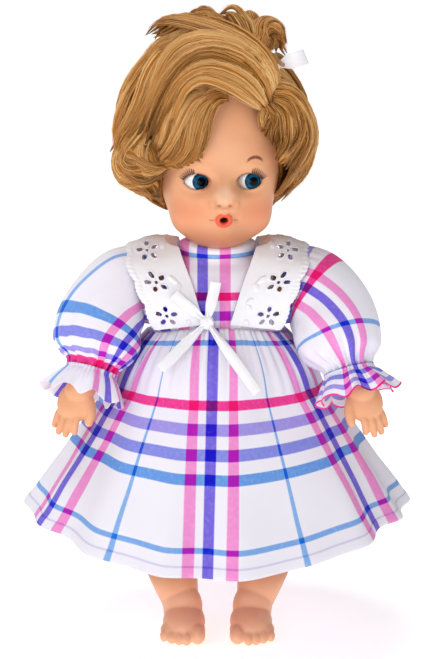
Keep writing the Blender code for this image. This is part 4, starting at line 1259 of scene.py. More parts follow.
@dataclass
class Head:
    """The vinyl head: skull, features, sockets and ears, in a frame of its own at the neck."""

    height: float = 0.1045
    sunk: float = 0.0060
    half_width: float = 0.0345
    front: float = 0.0400
    back: float = 0.0400
    power: float = 2.3
    jaw: float = 0.175
    turn: float = radians(5.0)
    eye_x: float = 0.0138
    eye_radius: float = 0.0085
    eye_depth: float = 0.0262
    eye_drop: float = 0.01145
    open_x: float = 0.0066
    open_z: float = 0.00425
    open_aside: float = 0.0004
    lid: float = 0.0013
    lid_reach: float = 0.0090
    lid_blend: float = 0.0036
    socket_room: float = 0.0009
    mouth_drop: float = 0.0198
    lip_x: float = 0.0047
    lip_z: float = 0.0041
    hole_x: float = 0.0021
    hole_z: float = 0.0014
    brow_up: float = 0.0130
    brow_out: float = 0.0028
    brow_bend: float = 100.0
    blush_x: float = 0.0195
    blush_drop: float = 0.0165
    nose_drop: float = 0.0086
    nostril_x: float = 0.0029
    nostril_drop: float = 0.0118
    ear_size: tuple = (0.0035, 0.0062, 0.0085)
    ear_place: tuple = (0.0019, 0.0040, 0.0060)
    ear_turn: float = radians(26.0)
    ear_bowl: tuple = (0.9, 0.55)
    neck_hole: tuple = (0.0190, 0.0195, 0.0030)
    neck_bore: float = 0.0162
    hollow: tuple = (0.0285, 0.0335, 0.0430)
    hollow_back: float = 0.002
    mouth_depth: float = 0.009
    face_from: float = -0.02
    crowd_front: float = 0.42
    crowd_low: float = 0.22
    # Height and reaches of the finer forms, in the order that each is unpacked below.
    pout: tuple = (0.0019, 0.72, 0.30)
    dimple: tuple = (0.0022, 0.38)
    groove: tuple = (0.0005, 0.0011, 0.0062, 0.0022)
    crease: tuple = (0.0004, 0.009, 0.0064, 0.0007)
    eye_corner: tuple = (0.0021, 0.0064, 0.0044, 0.0060, 0.0055)
    # Place below the eyes' level, heading, height and reach of each larger form, mirrored off the middle.
    forms: tuple = (
        ((0.0190, -0.0250, 0.0178), (0.6, -0.7, -0.2), 0.0034, 0.0140),
        ((0.0185, -0.0220, 0.0235), (0.9, -0.4, -0.1), 0.0040, 0.0100),
        ((0.0000, -0.0275, 0.0288), (0.0, -0.9, -0.35), 0.0062, 0.0100),
        ((0.0000, -0.0350, 0.0188), (0.0, -1.0, 0.0), 0.0034, 0.0090),
        ((0.0000, -0.0385, 0.0054), (0.0, -1.0, 0.00), 0.0036, 0.0080),
        ((0.0000, -0.0390, 0.0096), (0.0, -1.0, 0.10), 0.0054, 0.0050),
        ((0.0048, -0.0390, 0.0110), (0.40, -1.0, 0.0), 0.0038, 0.0026),
        ((0.0000, -0.0400, 0.0250), (0.0, 1.0, 0.0), 0.0016, 0.0030),
        ((0.0072, -0.0380, 0.0196), (0.0, 1.0, 0.0), 0.0012, 0.0020),
        ((0.0029, -0.0430, 0.0120), (0.0, 0.6, 1.0), 0.0012, 0.0011),
    )

    def __post_init__(self) -> None:
        """Takes the head's place from the neck joint."""
        self.base = joint_place("head_turn")
        self.middle = self.height / 2 - self.sunk
        self.eye_z = self.middle - self.eye_drop
        self.mouth_z = self.eye_z - self.mouth_drop
        self.blush_z = self.eye_z - self.blush_drop
        self.nose_z = self.eye_z - self.nose_drop
        self.nostril_z = self.eye_z - self.nostril_drop
        self.matrix = Matrix.Translation(self.base) @ Matrix.Rotation(self.turn, 4, "Z")

    def skull(self, direction: Vector, grow: float = 0.0) -> Vector:
        """The plain skull in a direction, grown by a distance.

        Args:
            direction: The direction from its middle.
            grow: The distance.

        Returns:
            The point, in the head's frame.
        """
        x, y, z = direction
        flat = sqrt(x * x + y * y)
        rounded = (abs(x) ** self.power + abs(y) ** self.power) ** (1 / self.power)
        swell = (flat ** self.power + abs(z) ** self.power) ** (1 / self.power)
        stretch = flat / rounded if rounded else 1.0
        jaw = 1 - self.jaw * max(-z / swell, 0.0)
        depth = self.front if y < 0 else self.back
        return Vector((
            x * stretch / swell * (self.half_width * jaw + grow),
            y * stretch / swell * (depth + grow),
            self.middle + z / swell * (self.height / 2 + grow),
        ))

    def eye_middle(self, side: int) -> Vector:
        """The middle of an eye in the head's frame."""
        return Vector((side * self.eye_x, -self.eye_depth, self.eye_z))

    def features(self, point: Vector) -> Vector:
        """Moves a point of the skull onto the modelled face.

        Args:
            point: The point, in the head's frame.

        Returns:
            The moved point.
        """
        start = point.copy()
        for (aside, forward, below), heading, amount, reach in self.forms:
            for side in ((1, -1) if aside else (1,)):
                centre = Vector((side * aside, forward, self.eye_z - below))
                way = Vector((side * heading[0], heading[1], heading[2])).normalized()
                point = point + way * amount * bell((point - centre).length, reach)
        if start.y < self.face_from:
            self.shape_mouth(point)
        for side in (1, -1):
            eye = self.eye_middle(side)
            away = sqrt(((point.x - eye.x) / 1.25) ** 2 + (point.z - eye.z) ** 2)
            if start.y < 0 and away < self.lid_reach:
                shell = eye + (point - eye).normalized() * (self.eye_radius + self.lid)
                point = point.lerp(shell, ease((self.lid_reach - away) / self.lid_blend))
                depth, across, up, high = self.crease
                point.y += depth * exp(-(((point - eye).x / across) ** 4)) * bell(point.z - eye.z - up, high)
        if start.y < self.face_from:
            height, out, across, below, high = self.eye_corner
            point.y -= height * bell(abs(point.x) - out, across) * bell(point.z - self.eye_z + below, high)
        return point

    def shape_mouth(self, point: Vector) -> None:
        """Moves a point of the face onto the pouting lips and the groove above them.

        Args:
            point: The point, which is changed.
        """
        up = point.z - self.mouth_z
        ring = sqrt((point.x / self.lip_x) ** 2 + (up / self.lip_z) ** 2)
        height, out, soft = self.pout
        dip, wide = self.dimple
        depth, across, above, high = self.groove
        lips = height * bell(ring - out, soft) - dip * bell(ring, wide)
        point.y -= lips - depth * bell(point.x, across) * bell(up - above, high)

    def build(self) -> bpy.types.Object:
        """Models the head.

        Returns:
            The head.
        """
        shape = bmesh.new()
        bmesh.ops.create_uvsphere(shape, u_segments=200, v_segments=150, radius=1.0)
        for corner in shape.verts:
            level = corner.co.z
            around = Vector((0, -1)).angle_signed(corner.co.xy, 0.0) if corner.co.xy.length > 1e-6 else 0.0
            around = around - self.crowd_front * sin(around)
            level = level - self.crowd_low * (1 - level * level)
            flat = sqrt(max(1 - level * level, 0.0))
            corner.co = self.features(self.skull(Vector((-sin(around) * flat, -cos(around) * flat, level))))
        bmesh.ops.recalc_face_normals(shape, faces=shape.faces)
        head = place_piece("vinyl_head", shape)
        self.hollow_out(head)
        head.data.transform(self.matrix)
        dress(head, PaintedFace().face_material(self))
        seat(head, "head", "head_shell")
        self.ears()
        return head

    def hollow_out(self, head: bpy.types.Object) -> None:
        """Cuts the neck's hole, the room inside, the eye sockets with their openings and the mouth.

        Args:
            head: The solid head.
        """
        aside, ahead, upright = Vector((1, 0, 0)), Vector((0, 1, 0)), Vector((0, 0, 1))
        level, facing = (aside, ahead, upright), (aside, upright, ahead)
        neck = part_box("torso")[1].z - self.base.z
        carve(head, bar(Vector((0, 0, -0.02)), level, 0.02, oval(*self.neck_hole)))
        carve(head, ball((0, self.hollow_back, self.middle), self.hollow))
        carve(head, bar(Vector((0, 0, 0)), level, max(neck, 0.006), oval(self.neck_bore, self.neck_bore)))
        for side in (1, -1):
            carve(head, ball(self.eye_middle(side), (self.eye_radius + self.socket_room,) * 3))
            across = side * (self.eye_x + self.open_aside)
            centre = Vector((across, -self.eye_depth - self.eye_radius, self.eye_z))
            carve(head, bar(centre, facing, self.eye_radius, partial(self.opening, side=side), 64))
        mouth = Vector((0, -self.front, self.mouth_z))
        carve(head, bar(mouth, facing, self.mouth_depth, oval(self.hole_x, self.hole_z)))

    def opening(self, share: float, side: int) -> tuple[float, float]:
        """The almond outline of an eye opening at a share of a turn.

        Args:
            share: The share of a turn.
            side: The eye's side, 1 or -1.

        Returns:
            The distances across and up.
        """
        angle = tau * share
        x, z = cos(angle), sin(angle)
        pinch = 1 - 0.34 * ease(side * x) * abs(x) ** 1.5
        brow = 1.00 if z > 0 else 0.96
        return x * self.open_x, z * self.open_z * pinch * brow

    def ears(self) -> None:
        """Models the two ears."""
        depth, reach = self.ear_bowl
        inward, back, below = self.ear_place
        for side in Side:
            sign = side.value
            shape = bmesh.new()
            bmesh.ops.create_uvsphere(shape, u_segments=48, v_segments=32, radius=1.0)
            for corner in shape.verts:
                bowl = bell(corner.co.yz.length, reach) * max(sign * corner.co.x, 0.0)
                corner.co.x -= sign * depth * bowl
                corner.co = Vector(size * value for size, value in zip(self.ear_size, corner.co))
            place = Vector((sign * (self.half_width - inward), back, self.eye_z - below))
            matrix = Matrix.Translation(place) @ Matrix.Rotation(sign * self.ear_turn, 4, "Z")
            bmesh.ops.transform(shape, matrix=matrix, verts=shape.verts)
            ear = place_piece("vinyl_ear_" + side.word, shape)
            ear.data.transform(self.matrix)
            seat(dress(ear, VinylSkin("ear_vinyl_" + side.word).material()), "head")


@dataclass
class Eyes:
    """Glossy sleeping eyes with printed irises and bristle lashes."""

    head: Head
    iris_radius: float = 0.0049
    bulge: float = 0.0004
    glance: float = radians(16.0)
    lash_count: int = 9
    lash_length: float = 0.0046
    lash_radius: float = 0.00034
    lash_row: tuple = (0.030, 0.165)
    lash_lean: tuple = (4, 50)
    lash_bow: tuple = (0.0006, -0.0026, 0.0003)
    lash_steps: int = 5
    print_lift: float = 0.00005
    print_sink: float = 0.0006

    def build(self) -> None:
        """Models and dresses both eyes."""
        for side in Side:
            centre = self.head.matrix @ self.head.eye_middle(side.value)
            self.eyeball(side, centre)
            self.iris(side, centre)
            self.lashes(side, centre)

    def eyeball(self, side: Side, centre: Vector) -> None:
        """Makes the white of an eye.

        Args:
            side: The eye's side.
            centre: The eye's middle.
        """
        shape = bmesh.new()
        place = Matrix.Translation(centre)
        radius = self.head.eye_radius
        bmesh.ops.create_uvsphere(shape, u_segments=64, v_segments=48, radius=radius, matrix=place)
        eye = place_piece("glossy_eye_" + side.word, shape)
        dress(eye, EyeWhite().material("eye_white_" + side.word, centre, self.head.turn))
        seat(eye, "eyes", "eyeball_" + side.word)

    def iris(self, side: Side, centre: Vector) -> None:
        """Makes the domed iris of an eye.

        Args:
            side: The eye's side.
            centre: The eye's middle.
        """
        radius = self.head.eye_radius
        wide = self.iris_radius / radius

        def spot(around: float, share: float) -> Vector:
            """A point of the thin dome, in front for the first half and behind for the second.

            Args:
                around: The share of a turn.
                share: The share of the length.

            Returns:
                The point.
            """
            reach = min(share * 2, (1 - share) * 2) * wide
            level = sqrt(1 - reach * reach) * radius
            dome = self.bulge * (1 - (reach / wide) ** 2) + self.print_lift
            lift = dome if share < 0.5 else -self.print_sink
            angle = tau * around
            return Vector((reach * radius * cos(angle), -level - lift, reach * radius * sin(angle)))

        iris = place_piece("printed_iris_" + side.word, closed(48, 24, spot))
        look = self.head.turn + self.glance
        iris.data.transform(Matrix.Translation(centre) @ Matrix.Rotation(look, 4, "Z"))
        dress(iris, IrisPrint().material("iris_print_" + side.word, centre, look, self.iris_radius))
        seat(iris, "eyes", "iris_" + side.word)

    def lashes(self, side: Side, centre: Vector) -> None:
        """Makes the row of lashes on the outer half of the upper lid.

        Args:
            side: The eye's side.
            centre: The eye's middle.
        """
        tuft = Strands("bristle_lashes_" + side.word)
        sign = side.value
        first, spread = self.lash_row
        upright, fan = self.lash_lean
        out, ahead, up = self.lash_bow
        for lash in range(self.lash_count):
            share = lash / (self.lash_count - 1)
            turn = 0.25 - sign * (first + spread * share)
            x, z = self.head.opening(turn, sign)
            x, z = x + sign * self.head.open_aside, z - 0.0002
            root = Vector((x, -sqrt((self.head.eye_radius + 0.0001) ** 2 - x * x - z * z), z))
            lean = sign * radians(upright + fan * share)
            rise = Vector((sin(lean), -0.55, cos(lean))).normalized()
            tip = root + rise * self.lash_length
            bow = root + Vector((sin(lean) * out, ahead, up))
            steps = (k / self.lash_steps for k in range(self.lash_steps + 1))
            points = [root.lerp(bow, s).lerp(bow.lerp(tip, s), s) for s in steps]
            tuft.add(points, self.lash_radius, 0.0)
        lashes = tuft.piece()
        lashes.data.transform(Matrix.Translation(centre) @ Matrix.Rotation(self.head.turn, 4, "Z"))
        dress(lashes, PlainFinish("lash_bristle_" + side.word, "0C0A0A", 0.45).material())
        seat(lashes, "eyes", "lashes_" + side.word)


class Strands:
    """Gathers tapered strands and makes one mesh of them, with a tone on each."""

    def __init__(self, name: str) -> None:
        """Starts an empty tuft with a name.

        Args:
            name: The tuft's name.
        """
        self.name = name
        self.curve = bpy.data.curves.new(name, "CURVE")
        self.curve.dimensions = "3D"
        self.curve.bevel_depth = 1.0
        self.curve.bevel_resolution = 0
        self.tones: list[float] = []

    def add(self, points: Sequence[Vector], radius: float, tone: float) -> None:
        """Adds a strand.

        Args:
            points: Its route.
            radius: Its radius where it is thickest.
            tone: How light it is, from 0 to 1.
        """
        spline = self.curve.splines.new("POLY")
        spline.points.add(len(points) - 1)
        last = len(points) - 1
        for index, (knot, point) in enumerate(zip(spline.points, points)):
            share = index / last
            knot.co = (*point, 1.0)
            knot.radius = radius * min(share * 8 + 0.15, 1.0) * (1.02 - share) ** 0.5
            self.tones.append(tone)

    def piece(self) -> bpy.types.Object:
        """Makes the mesh.

        Returns:
            The piece, with its tones.
        """
        holder = bpy.data.objects.new(self.name, self.curve)
        bpy.context.scene.collection.objects.link(holder)
        graph = bpy.context.evaluated_depsgraph_get()
        mesh = bpy.data.meshes.new_from_object(holder.evaluated_get(graph), depsgraph=graph)
        bpy.data.objects.remove(holder)
        bpy.data.curves.remove(self.curve)
        sides = len(mesh.vertices) // len(self.tones)
        tone = mesh.attributes.new("tone", "FLOAT", "POINT")
        tone.data.foreach_set("value", [value for value in self.tones for _ in range(sides)])
        mesh.shade_smooth()
        mesh.name = self.name
        tuft = bpy.data.objects.new(self.name, mesh)
        bpy.context.scene.collection.objects.link(tuft)
        return tuft


@dataclass
class Arms:
    """Vinyl arms with soft hands."""

    body: Torso
    shoulder_drop: float = 0.0190
    stations: tuple = (
        (-0.0020, 0.0000, 0.0000, 0.0104), (0.0045, -0.0005, 0.0005, 0.0110),
        (0.0130, -0.0060, 0.0070, 0.0108), (0.0230, -0.0150, 0.0200, 0.0101),
        (0.0320, -0.0280, 0.0345, 0.0094), (0.0375, -0.0370, 0.0425, 0.0080),
        (0.0405, -0.0415, 0.0475, 0.0080),
    )
    shoulder: float = 0.0108
    voxel: float = 0.0006
    rounds: int = 4
    reach: float = 0.0475
    spread: float = 0.0014
    palm: tuple = (0.0100, 0.0062, 0.0108)
    palm_down: float = 0.0062
    fingers: tuple = (0.0100, 0.0130, 0.0132, 0.0108)
    finger_step: float = 0.0036
    finger_radii: tuple = (0.0022, 0.0021, 0.0018)
    thumb_radii: tuple = (0.0036, 0.0031, 0.0024)
    # Each point of the thumb from the palm's middle: inwards, down and forwards.
    thumb: tuple = ((0.0068, -0.0030, 0.0), (0.0104, 0.0018, 0.0010), (0.0116, 0.0070, 0.0008))
    finger_down: float = 0.0050
    finger_arch: tuple = (0.0018, 0.0004)
    finger_fan: float = 22.0
    finger_curl: float = 0.0022
    knuckle: float = 0.0013
    hand_down: tuple = (0.36, -0.14, -0.92)
    hand_facing: tuple = (0.30, -0.94, 0.20)

    def path(self, side: Side) -> list[Vector]:
        """The arm's stations of place and radius.

        Args:
            side: The arm's side.

        Returns:
            The stations.
        """
        z = self.body.neck_foot - self.shoulder_drop
        face = self.body.half_width
        lean = side.value * self.spread / self.reach
        return [
            Vector((side.value * (face + out + lean * down), y, z - down, radius))
            for out, y, down, radius in self.stations
        ]

    def build(self) -> None:
        """Models both arms."""
        for side in Side:
            path = self.path(side)
            wrist = path[-1].to_3d()
            lumps = [limb(path), ball(path[1].to_3d(), (self.shoulder,) * 3), ball(wrist, (path[-1][3],) * 3)]
            lumps += self.hand(wrist, side)
            arm = flesh("vinyl_arm_" + side.word, lumps, self.voxel, self.rounds)
            dress(arm, VinylSkin("arm_vinyl_" + side.word).material())
            seat(arm, side.word + "_arm", "arm_" + side.word)

    def hand(self, wrist: Vector, side: Side) -> list[bmesh.types.BMesh]:
        """The lumps of a hand that hangs with its fingers together.

        Args:
            wrist: The middle of the wrist.
            side: The side that it hangs on.

        Returns:
            The palm, the fingers and the thumb.
        """
        down = side.mirrored(self.hand_down).normalized()
        facing = side.mirrored(self.hand_facing)
        facing = (facing - down * facing.dot(down)).normalized()
        outer = down.cross(facing) * -side.value
        middle = wrist + down * self.palm_down
        turn = Matrix((outer, facing, down)).transposed().to_4x4()
        lumps = [ball(middle, self.palm, turn)]
        for k, length in enumerate(self.fingers):
            aside = self.finger_step * (k - 1.25)
            ahead = self.finger_arch[0] - self.finger_arch[1] * k * k
            root = middle + outer * aside + down * self.finger_down + facing * ahead
            way = (down + outer * aside * self.finger_fan).normalized()
            tip = root + way * length - facing * self.finger_curl
            knuckle = root.lerp(tip, 0.5) + facing * self.knuckle
            lumps.append(self.finger((root, knuckle, tip), self.finger_radii))
        thumb = [middle - outer * inward + down * low + facing * ahead for inward, low, ahead in self.thumb]
        lumps.append(self.finger(thumb, self.thumb_radii))
        return lumps

    def finger(self, points: Sequence[Vector], radii: Sequence[float]) -> bmesh.types.BMesh:
        """One finger, closed at both ends.

        Args:
            points: Its root, knuckle and tip.
            radii: Its radii there.

        Returns:
            The finger.
        """
        shape = limb([Vector((*point, radius)) for point, radius in zip(points, radii)])
        for end in (0, -1):
            place = Matrix.Translation(points[end])
            bmesh.ops.create_uvsphere(shape, u_segments=16, v_segments=12, radius=radii[end], matrix=place)
        return shape


@dataclass
class Legs:
    """Vinyl legs with bare feet."""

    hips: float = 0.110
    face: float = 0.0143
    stations: tuple = (
        (0.0170, 0.0000, 1.00, 0.0174), (0.0168, -0.0005, 0.82, 0.0176), (0.0155, -0.0015, 0.62, 0.0160),
        (0.0145, -0.0005, 0.50, 0.0150), (0.0128, 0.0015, 0.37, 0.0149), (0.0095, 0.0025, 0.24, 0.0128),
        (0.0070, 0.0030, 0.14, 0.0106), (0.0062, 0.0030, 0.07, 0.0102),
    )
    ankle: float = 0.0201
    # Place from the ankle's middle and half sizes: heel, instep, sole, ball of the foot and big toe.
    foot: tuple = (
        ((0.0000, 0.0055, 0.0085), (0.0098, 0.0098, 0.0098)),
        ((-0.0006, -0.0030, 0.0140), (0.0110, 0.0120, 0.0132)),
        ((-0.0012, -0.0105, 0.0078), (0.0120, 0.0200, 0.0098)),
        ((-0.0008, -0.0190, 0.0058), (0.0127, 0.0110, 0.0064)),
        ((-0.0092, -0.0270, 0.0056), (0.0043, 0.0072, 0.0052)),
    )
    toes: int = 4
    toe_first: tuple = (-0.0030, -0.0298)
    toe_step: tuple = (0.0042, 0.0006)
    toe_size: tuple = (0.0033, 0.0001)
    toe_height: float = 0.0042
    toe_shape: tuple = (0.80, 1.45, 1.15)
    voxel: float = 0.0008
    rounds: int = 2
    # Painted shade: the legs' vinyl is a darker copy of the body's, for the shade that falls under the skirt.
    colours: tuple = ("CF8B63", "B4704C")
    # Painted light on the feet, which stand in the skirt's shade.
    foot_painted_light: str = "FFBF96"

    def build(self) -> None:
        """Models both legs."""
        for side in Side:
            path = []
            for out, y, share, radius in self.stations:
                path.append(Vector((*side.mirrored((self.face + out, y, self.hips * share)), radius)))
            lumps = [limb(path), ball(path[0].to_3d(), (path[0][3],) * 3)]
            for (x, y, z), sizes in self.foot:
                lumps.append(ball(side.mirrored((self.ankle + x, y, z)), sizes))
            for k in range(self.toes):
                x = self.ankle + self.toe_first[0] + self.toe_step[0] * k
                y = self.toe_first[1] + self.toe_step[1] * k * k
                size = self.toe_size[0] - self.toe_size[1] * k
                sizes = [size * part for part in self.toe_shape]
                lumps.append(ball(side.mirrored((x, y, self.toe_height)), sizes))
            leg = flesh("vinyl_leg_" + side.word, lumps, self.voxel, self.rounds)
            self.trim(leg)
            skin = VinylSkin("leg_vinyl_" + side.word, *self.colours, foot=self.foot_painted_light)
            dress(leg, skin.material())
            seat(leg, side.word + "_leg", "leg_" + side.word)

    def trim(self, leg: bpy.types.Object) -> None:
        """Cuts a leg flat at the floor.

        Args:
            leg: The leg.
        """
        shape = bmesh.new()
        shape.from_mesh(leg.data)
        found = bmesh.ops.bisect_plane(
            shape, geom=shape.verts[:] + shape.edges[:] + shape.faces[:], dist=1e-6,
            plane_co=(0, 0, 0), plane_no=(0, 0, -1), clear_outer=True,
        )
        rim = [part for part in found["geom_cut"] if isinstance(part, bmesh.types.BMEdge)]
        bmesh.ops.holes_fill(shape, edges=rim, sides=0)
        shape.to_mesh(leg.data)
        shape.free()
        leg.data.shade_smooth()


@dataclass
class Dress:
    """The plaid dress: bodice, neckband and gathered skirt."""

    body: Torso
    ease: float = 0.0014
    cloth: float = 0.0007
    waist_side_drop: float = 0.0440
    waist_front_drop: float = 0.0375
    skirt_side: float = 0.0910
    skirt_front: float = 0.1155
    skirt_half_width: float = 0.1075
    skirt_half_depth: float = 0.1000
    folds: int = 14
    fold_share: float = 0.054
    gathers: int = 58
    tuck: float = 0.0036
    hem_line: float = 0.958
    hem_fold: float = 0.0005
    stitch_width: float = 0.0009
    stitch_colour: str = "E2DDF2"
    groups: int = 6
    band_radius: float = 0.0205
    band_height: float = 0.0058
    band_rise: float = 0.0025
    band_roll: float = 0.0034
    armhole: float = 0.0163
    shoulder_drop: float = 0.0190
    chart_turn: float = radians(-92.8)
    slant: float = 0.1332
    skirt_grow: float = 0.0019
    # Size, waves in a turn and phase of what makes the folds uneven.
    drift: tuple = ((0.10, 3, 0.6), (0.06, 5, 2.0))
    # Height, length down the skirt, power of its fade, share of the gathers, sway and its waves.
    pleats: tuple = ((0.0011, 0.42, 1.5, 1.0, 2.5, 7), (0.0007, 0.20, 1.0, 2.3, 2.0, 11))
    puff: float = 0.0030
    rumple: float = 0.0012
    rumples: float = 45.0
    even_from: float = 0.36
    bodice_lifts: tuple = (0.0, 0.0, 0.0, 0.6 * 0.0021, 0.0021)
    bodice_pull: float = 0.0005
    bodice_gathers: int = 70
    bodice_rise: float = 0.0018
    bodice_wrap: float = 0.034
    # Level on the plaid, its height on the body, cloth per height and last level.
    bodice_chart: tuple = (0.0421, 0.1959, 1.307, 0.0630)
    armhole_from: float = 0.018
    stripe_aside: float = 0.0079
    band_cloth: float = 0.0012
    band_foot: float = 0.0022
    band_inset: float = 0.0004
    band_swell: float = 0.0006
    band_chart: tuple = (0.0088, 0.0080)

    def between(self, angle: float, side: float, front: float) -> float:
        """A height between the one at the sides and the one in front and behind."""
        return side + (front - side) * sin(angle) ** 2

    def waist(self, angle: float) -> float:
        """Height of the waist seam, higher in front and behind."""
        neck = self.body.neck_foot
        return self.between(angle, neck - self.waist_side_drop, neck - self.waist_front_drop)

    def hem(self, angle: float) -> float:
        """Height of the hem.

        Args:
            angle: The angle round the skirt.

        Returns:
            The height.
        """
        side = self.body.neck_foot - self.waist_side_drop - self.skirt_side
        front = self.body.neck_foot - self.waist_front_drop - self.skirt_front
        return self.between(angle, side, front)

    def skirt_point(self, around: float, share: float) -> Vector:
        """A point of the skirt, from the waist at 0 to the hem at 1.

        Args:
            around: The share of a turn.
            share: The share of the length.

        Returns:
            The point.
        """
        angle = tau * around
        width, front, back = self.body.size(self.body.neck_foot - self.waist_side_drop)
        depth = back if sin(angle) > 0 else front
        uneven = angle + sum(size * sin(waves * angle + phase) for size, waves, phase in self.drift)
        wave = (0.5 - 0.5 * cos(self.folds * uneven)) ** 0.85
        strength = 0.75 + 0.45 * sin(4 * angle + 1.2) * sin(3 * angle)
        fold = 1 - self.fold_share * strength * share ** 1.15 * wave
        out = self.puff * sin(pi * min(share / 0.3, 1.0))
        out += self.hem_fold * ease((share - self.hem_line) / 0.006)
        for height, end, power, rate, sway, waves in self.pleats:
            turn = rate * self.gathers * uneven + sway * sin(waves * angle)
            out += height * fade(share, end) ** power * sin(turn)
        grow = self.ease + self.skirt_grow
        x = ((width + grow) * (1 - share) + self.skirt_half_width * share) * fold + out
        y = ((depth + grow) * (1 - share) + self.skirt_half_depth * share) * fold + out
        top = self.waist(angle) + self.tuck
        place = Vector((x * cos(angle) * self.rumples, y * sin(angle) * self.rumples, share * 5))
        rumple = self.rumple * share * noise.noise(place)
        return ring_point(x + rumple, y + rumple, angle, top + (self.hem(angle) - top) * share)

    def skirt_chart(self, around: float, share: float) -> tuple[float, float]:
        """Lays the stripes at an even width and hides the rest of the cloth in the gathers.

        Args:
            around: The share of a turn.
            share: The share of the length.

        Returns:
            Metres across and along the plaid.
        """
        turn = (around - self.chart_turn / tau - 1.0) * self.groups
        nearest = floor(turn + 0.5)
        part = turn - nearest
        even = self.even_from + (1 - self.even_from) * share
        swing = even * part + (1 - even) * 4 * part ** 3
        return (nearest + swing) * Plaid.period, share * self.slant

    def build(self) -> None:
        """Models and dresses the dress."""
        per_turn = Plaid.period * self.groups
        skirt = thicken("plaid_skirt", patch(420, 84, self.skirt_point, self.skirt_chart, True), self.cloth)
        stitch = (self.hem_line * self.slant, self.stitch_width, self.stitch_colour)
        cotton = Plaid(uprights=Plaid.uprights[1:], levels=(*Plaid.levels, stitch))
        dress(skirt, cotton.material("plaid_skirt_cotton"))
        lift_lap(skirt, "skirt")
        self.bodice()
        self.neckband()

    def bodice(self) -> None:
        """Makes the fitted top with its armholes."""
        body = self.body
        levels = [body.hips + body.height * row[0] for row in body.outline[2:]]
        levels.insert(0, body.neck_foot - self.waist_side_drop)
        foot = body.neck_foot + self.bodice_rise
        first, height, scale, last = self.bodice_chart

        def ring(level: float, angle: float, lift: float) -> Vector:
            """A point of the grown body at a level, lifted a little.

            Args:
                level: The height.
                angle: The angle round the body.
                lift: How far it is lifted.

            Returns:
                The point.
            """
            width, front, back = body.size(level)
            depth = back if sin(angle) > 0 else front
            return ring_point(width + self.ease, depth + self.ease, angle, level + lift)

        def spot(around: float, share: float) -> Vector:
            """A point of the top, from the waist at 0 to the neck at 1.

            Args:
                around: The share of a turn.
                share: The share of the length.

            Returns:
                The point.
            """
            angle = tau * around
            column = [ring(level, angle, lift) for level, lift in zip(levels, self.bodice_lifts)]
            column[0].z = self.waist(angle)
            column.append(ring_point(self.band_radius, self.band_radius, angle, foot))
            pull = self.bodice_pull * fade(share, 0.3) * sin(self.bodice_gathers * angle)
            return along(column, share) + ring_point(1.0, 1.0, angle, 0.0) * pull

        def chart(around: float, share: float) -> tuple[float, float]:
            """Metres on the plaid: straight across in front, wrapped round behind.

            Args:
                around: The share of a turn.
                share: The share of the length.

            Returns:
                Metres across and along the plaid.
            """
            point = spot(around, share)
            wrapped = ((around + 0.25) % 1.0 - 0.5) * tau * self.bodice_wrap
            u = (point.x + self.stripe_aside) if point.y < 0 else wrapped
            return u, min(first + (height - point.z) * scale, last)

        shape = patch(240, 64, spot, chart, True)
        shoulder = body.neck_foot - self.shoulder_drop
        gone = []
        for corner in shape.verts:
            flat = Vector((corner.co.y, corner.co.z - shoulder))
            if abs(corner.co.x) > self.armhole_from and flat.length < self.armhole:
                gone.append(corner)
        bmesh.ops.delete(shape, geom=gone, context="VERTS")
        top = thicken("plaid_bodice", shape, self.cloth)
        dress(top, Plaid().material("plaid_bodice_cotton"))
        seat(top, "torso", "bodice")

    def neckband(self) -> None:
        """Makes the standing band round the neck."""
        foot = self.body.neck_foot + self.band_foot
        first, length = self.band_chart

        def spot(around: float, share: float) -> Vector:
            """A point of the band, rolled inwards at its top.

            Args:
                around: The share of a turn.
                share: The share of the length.

            Returns:
                The point.
            """
            angle = tau * around
            radius = self.band_radius - self.band_inset + self.band_swell * sin(pi * share)
            radius -= self.band_roll * ease((share - 0.7) / 0.3)
            height = self.band_height + self.band_rise * cos(angle) ** 2
            return ring_point(radius, radius, angle, foot + height * share)

        def chart(around: float, share: float) -> tuple[float, float]:
            """Metres on the plaid, straight across."""
            return spot(around, share).x + self.stripe_aside, first - length * share

        band = thicken("plaid_neckband", patch(160, 10, spot, chart, True), self.band_cloth)
        dress(band, Plaid().material("plaid_neckband_cotton"))
        seat(band, "torso", "neckband")


@dataclass(frozen=True)
class SleeveCut:
    """How a sleeve is cut from the plaid, in metres on the cloth."""

    upright_at_centre: float
    levels: tuple
    frill_from: float
    frill_to: float
    uprights: tuple
    centre: float = 0.50

    def level(self, share: float) -> float:
        """Metres along the plaid at a share of the sleeve's length above the cuff."""
        for (low, start), (high, end) in zip(self.levels, self.levels[1:]):
            if share <= high:
                return start + (end - start) * (share - low) / (high - low)
        return self.levels[-1][1]


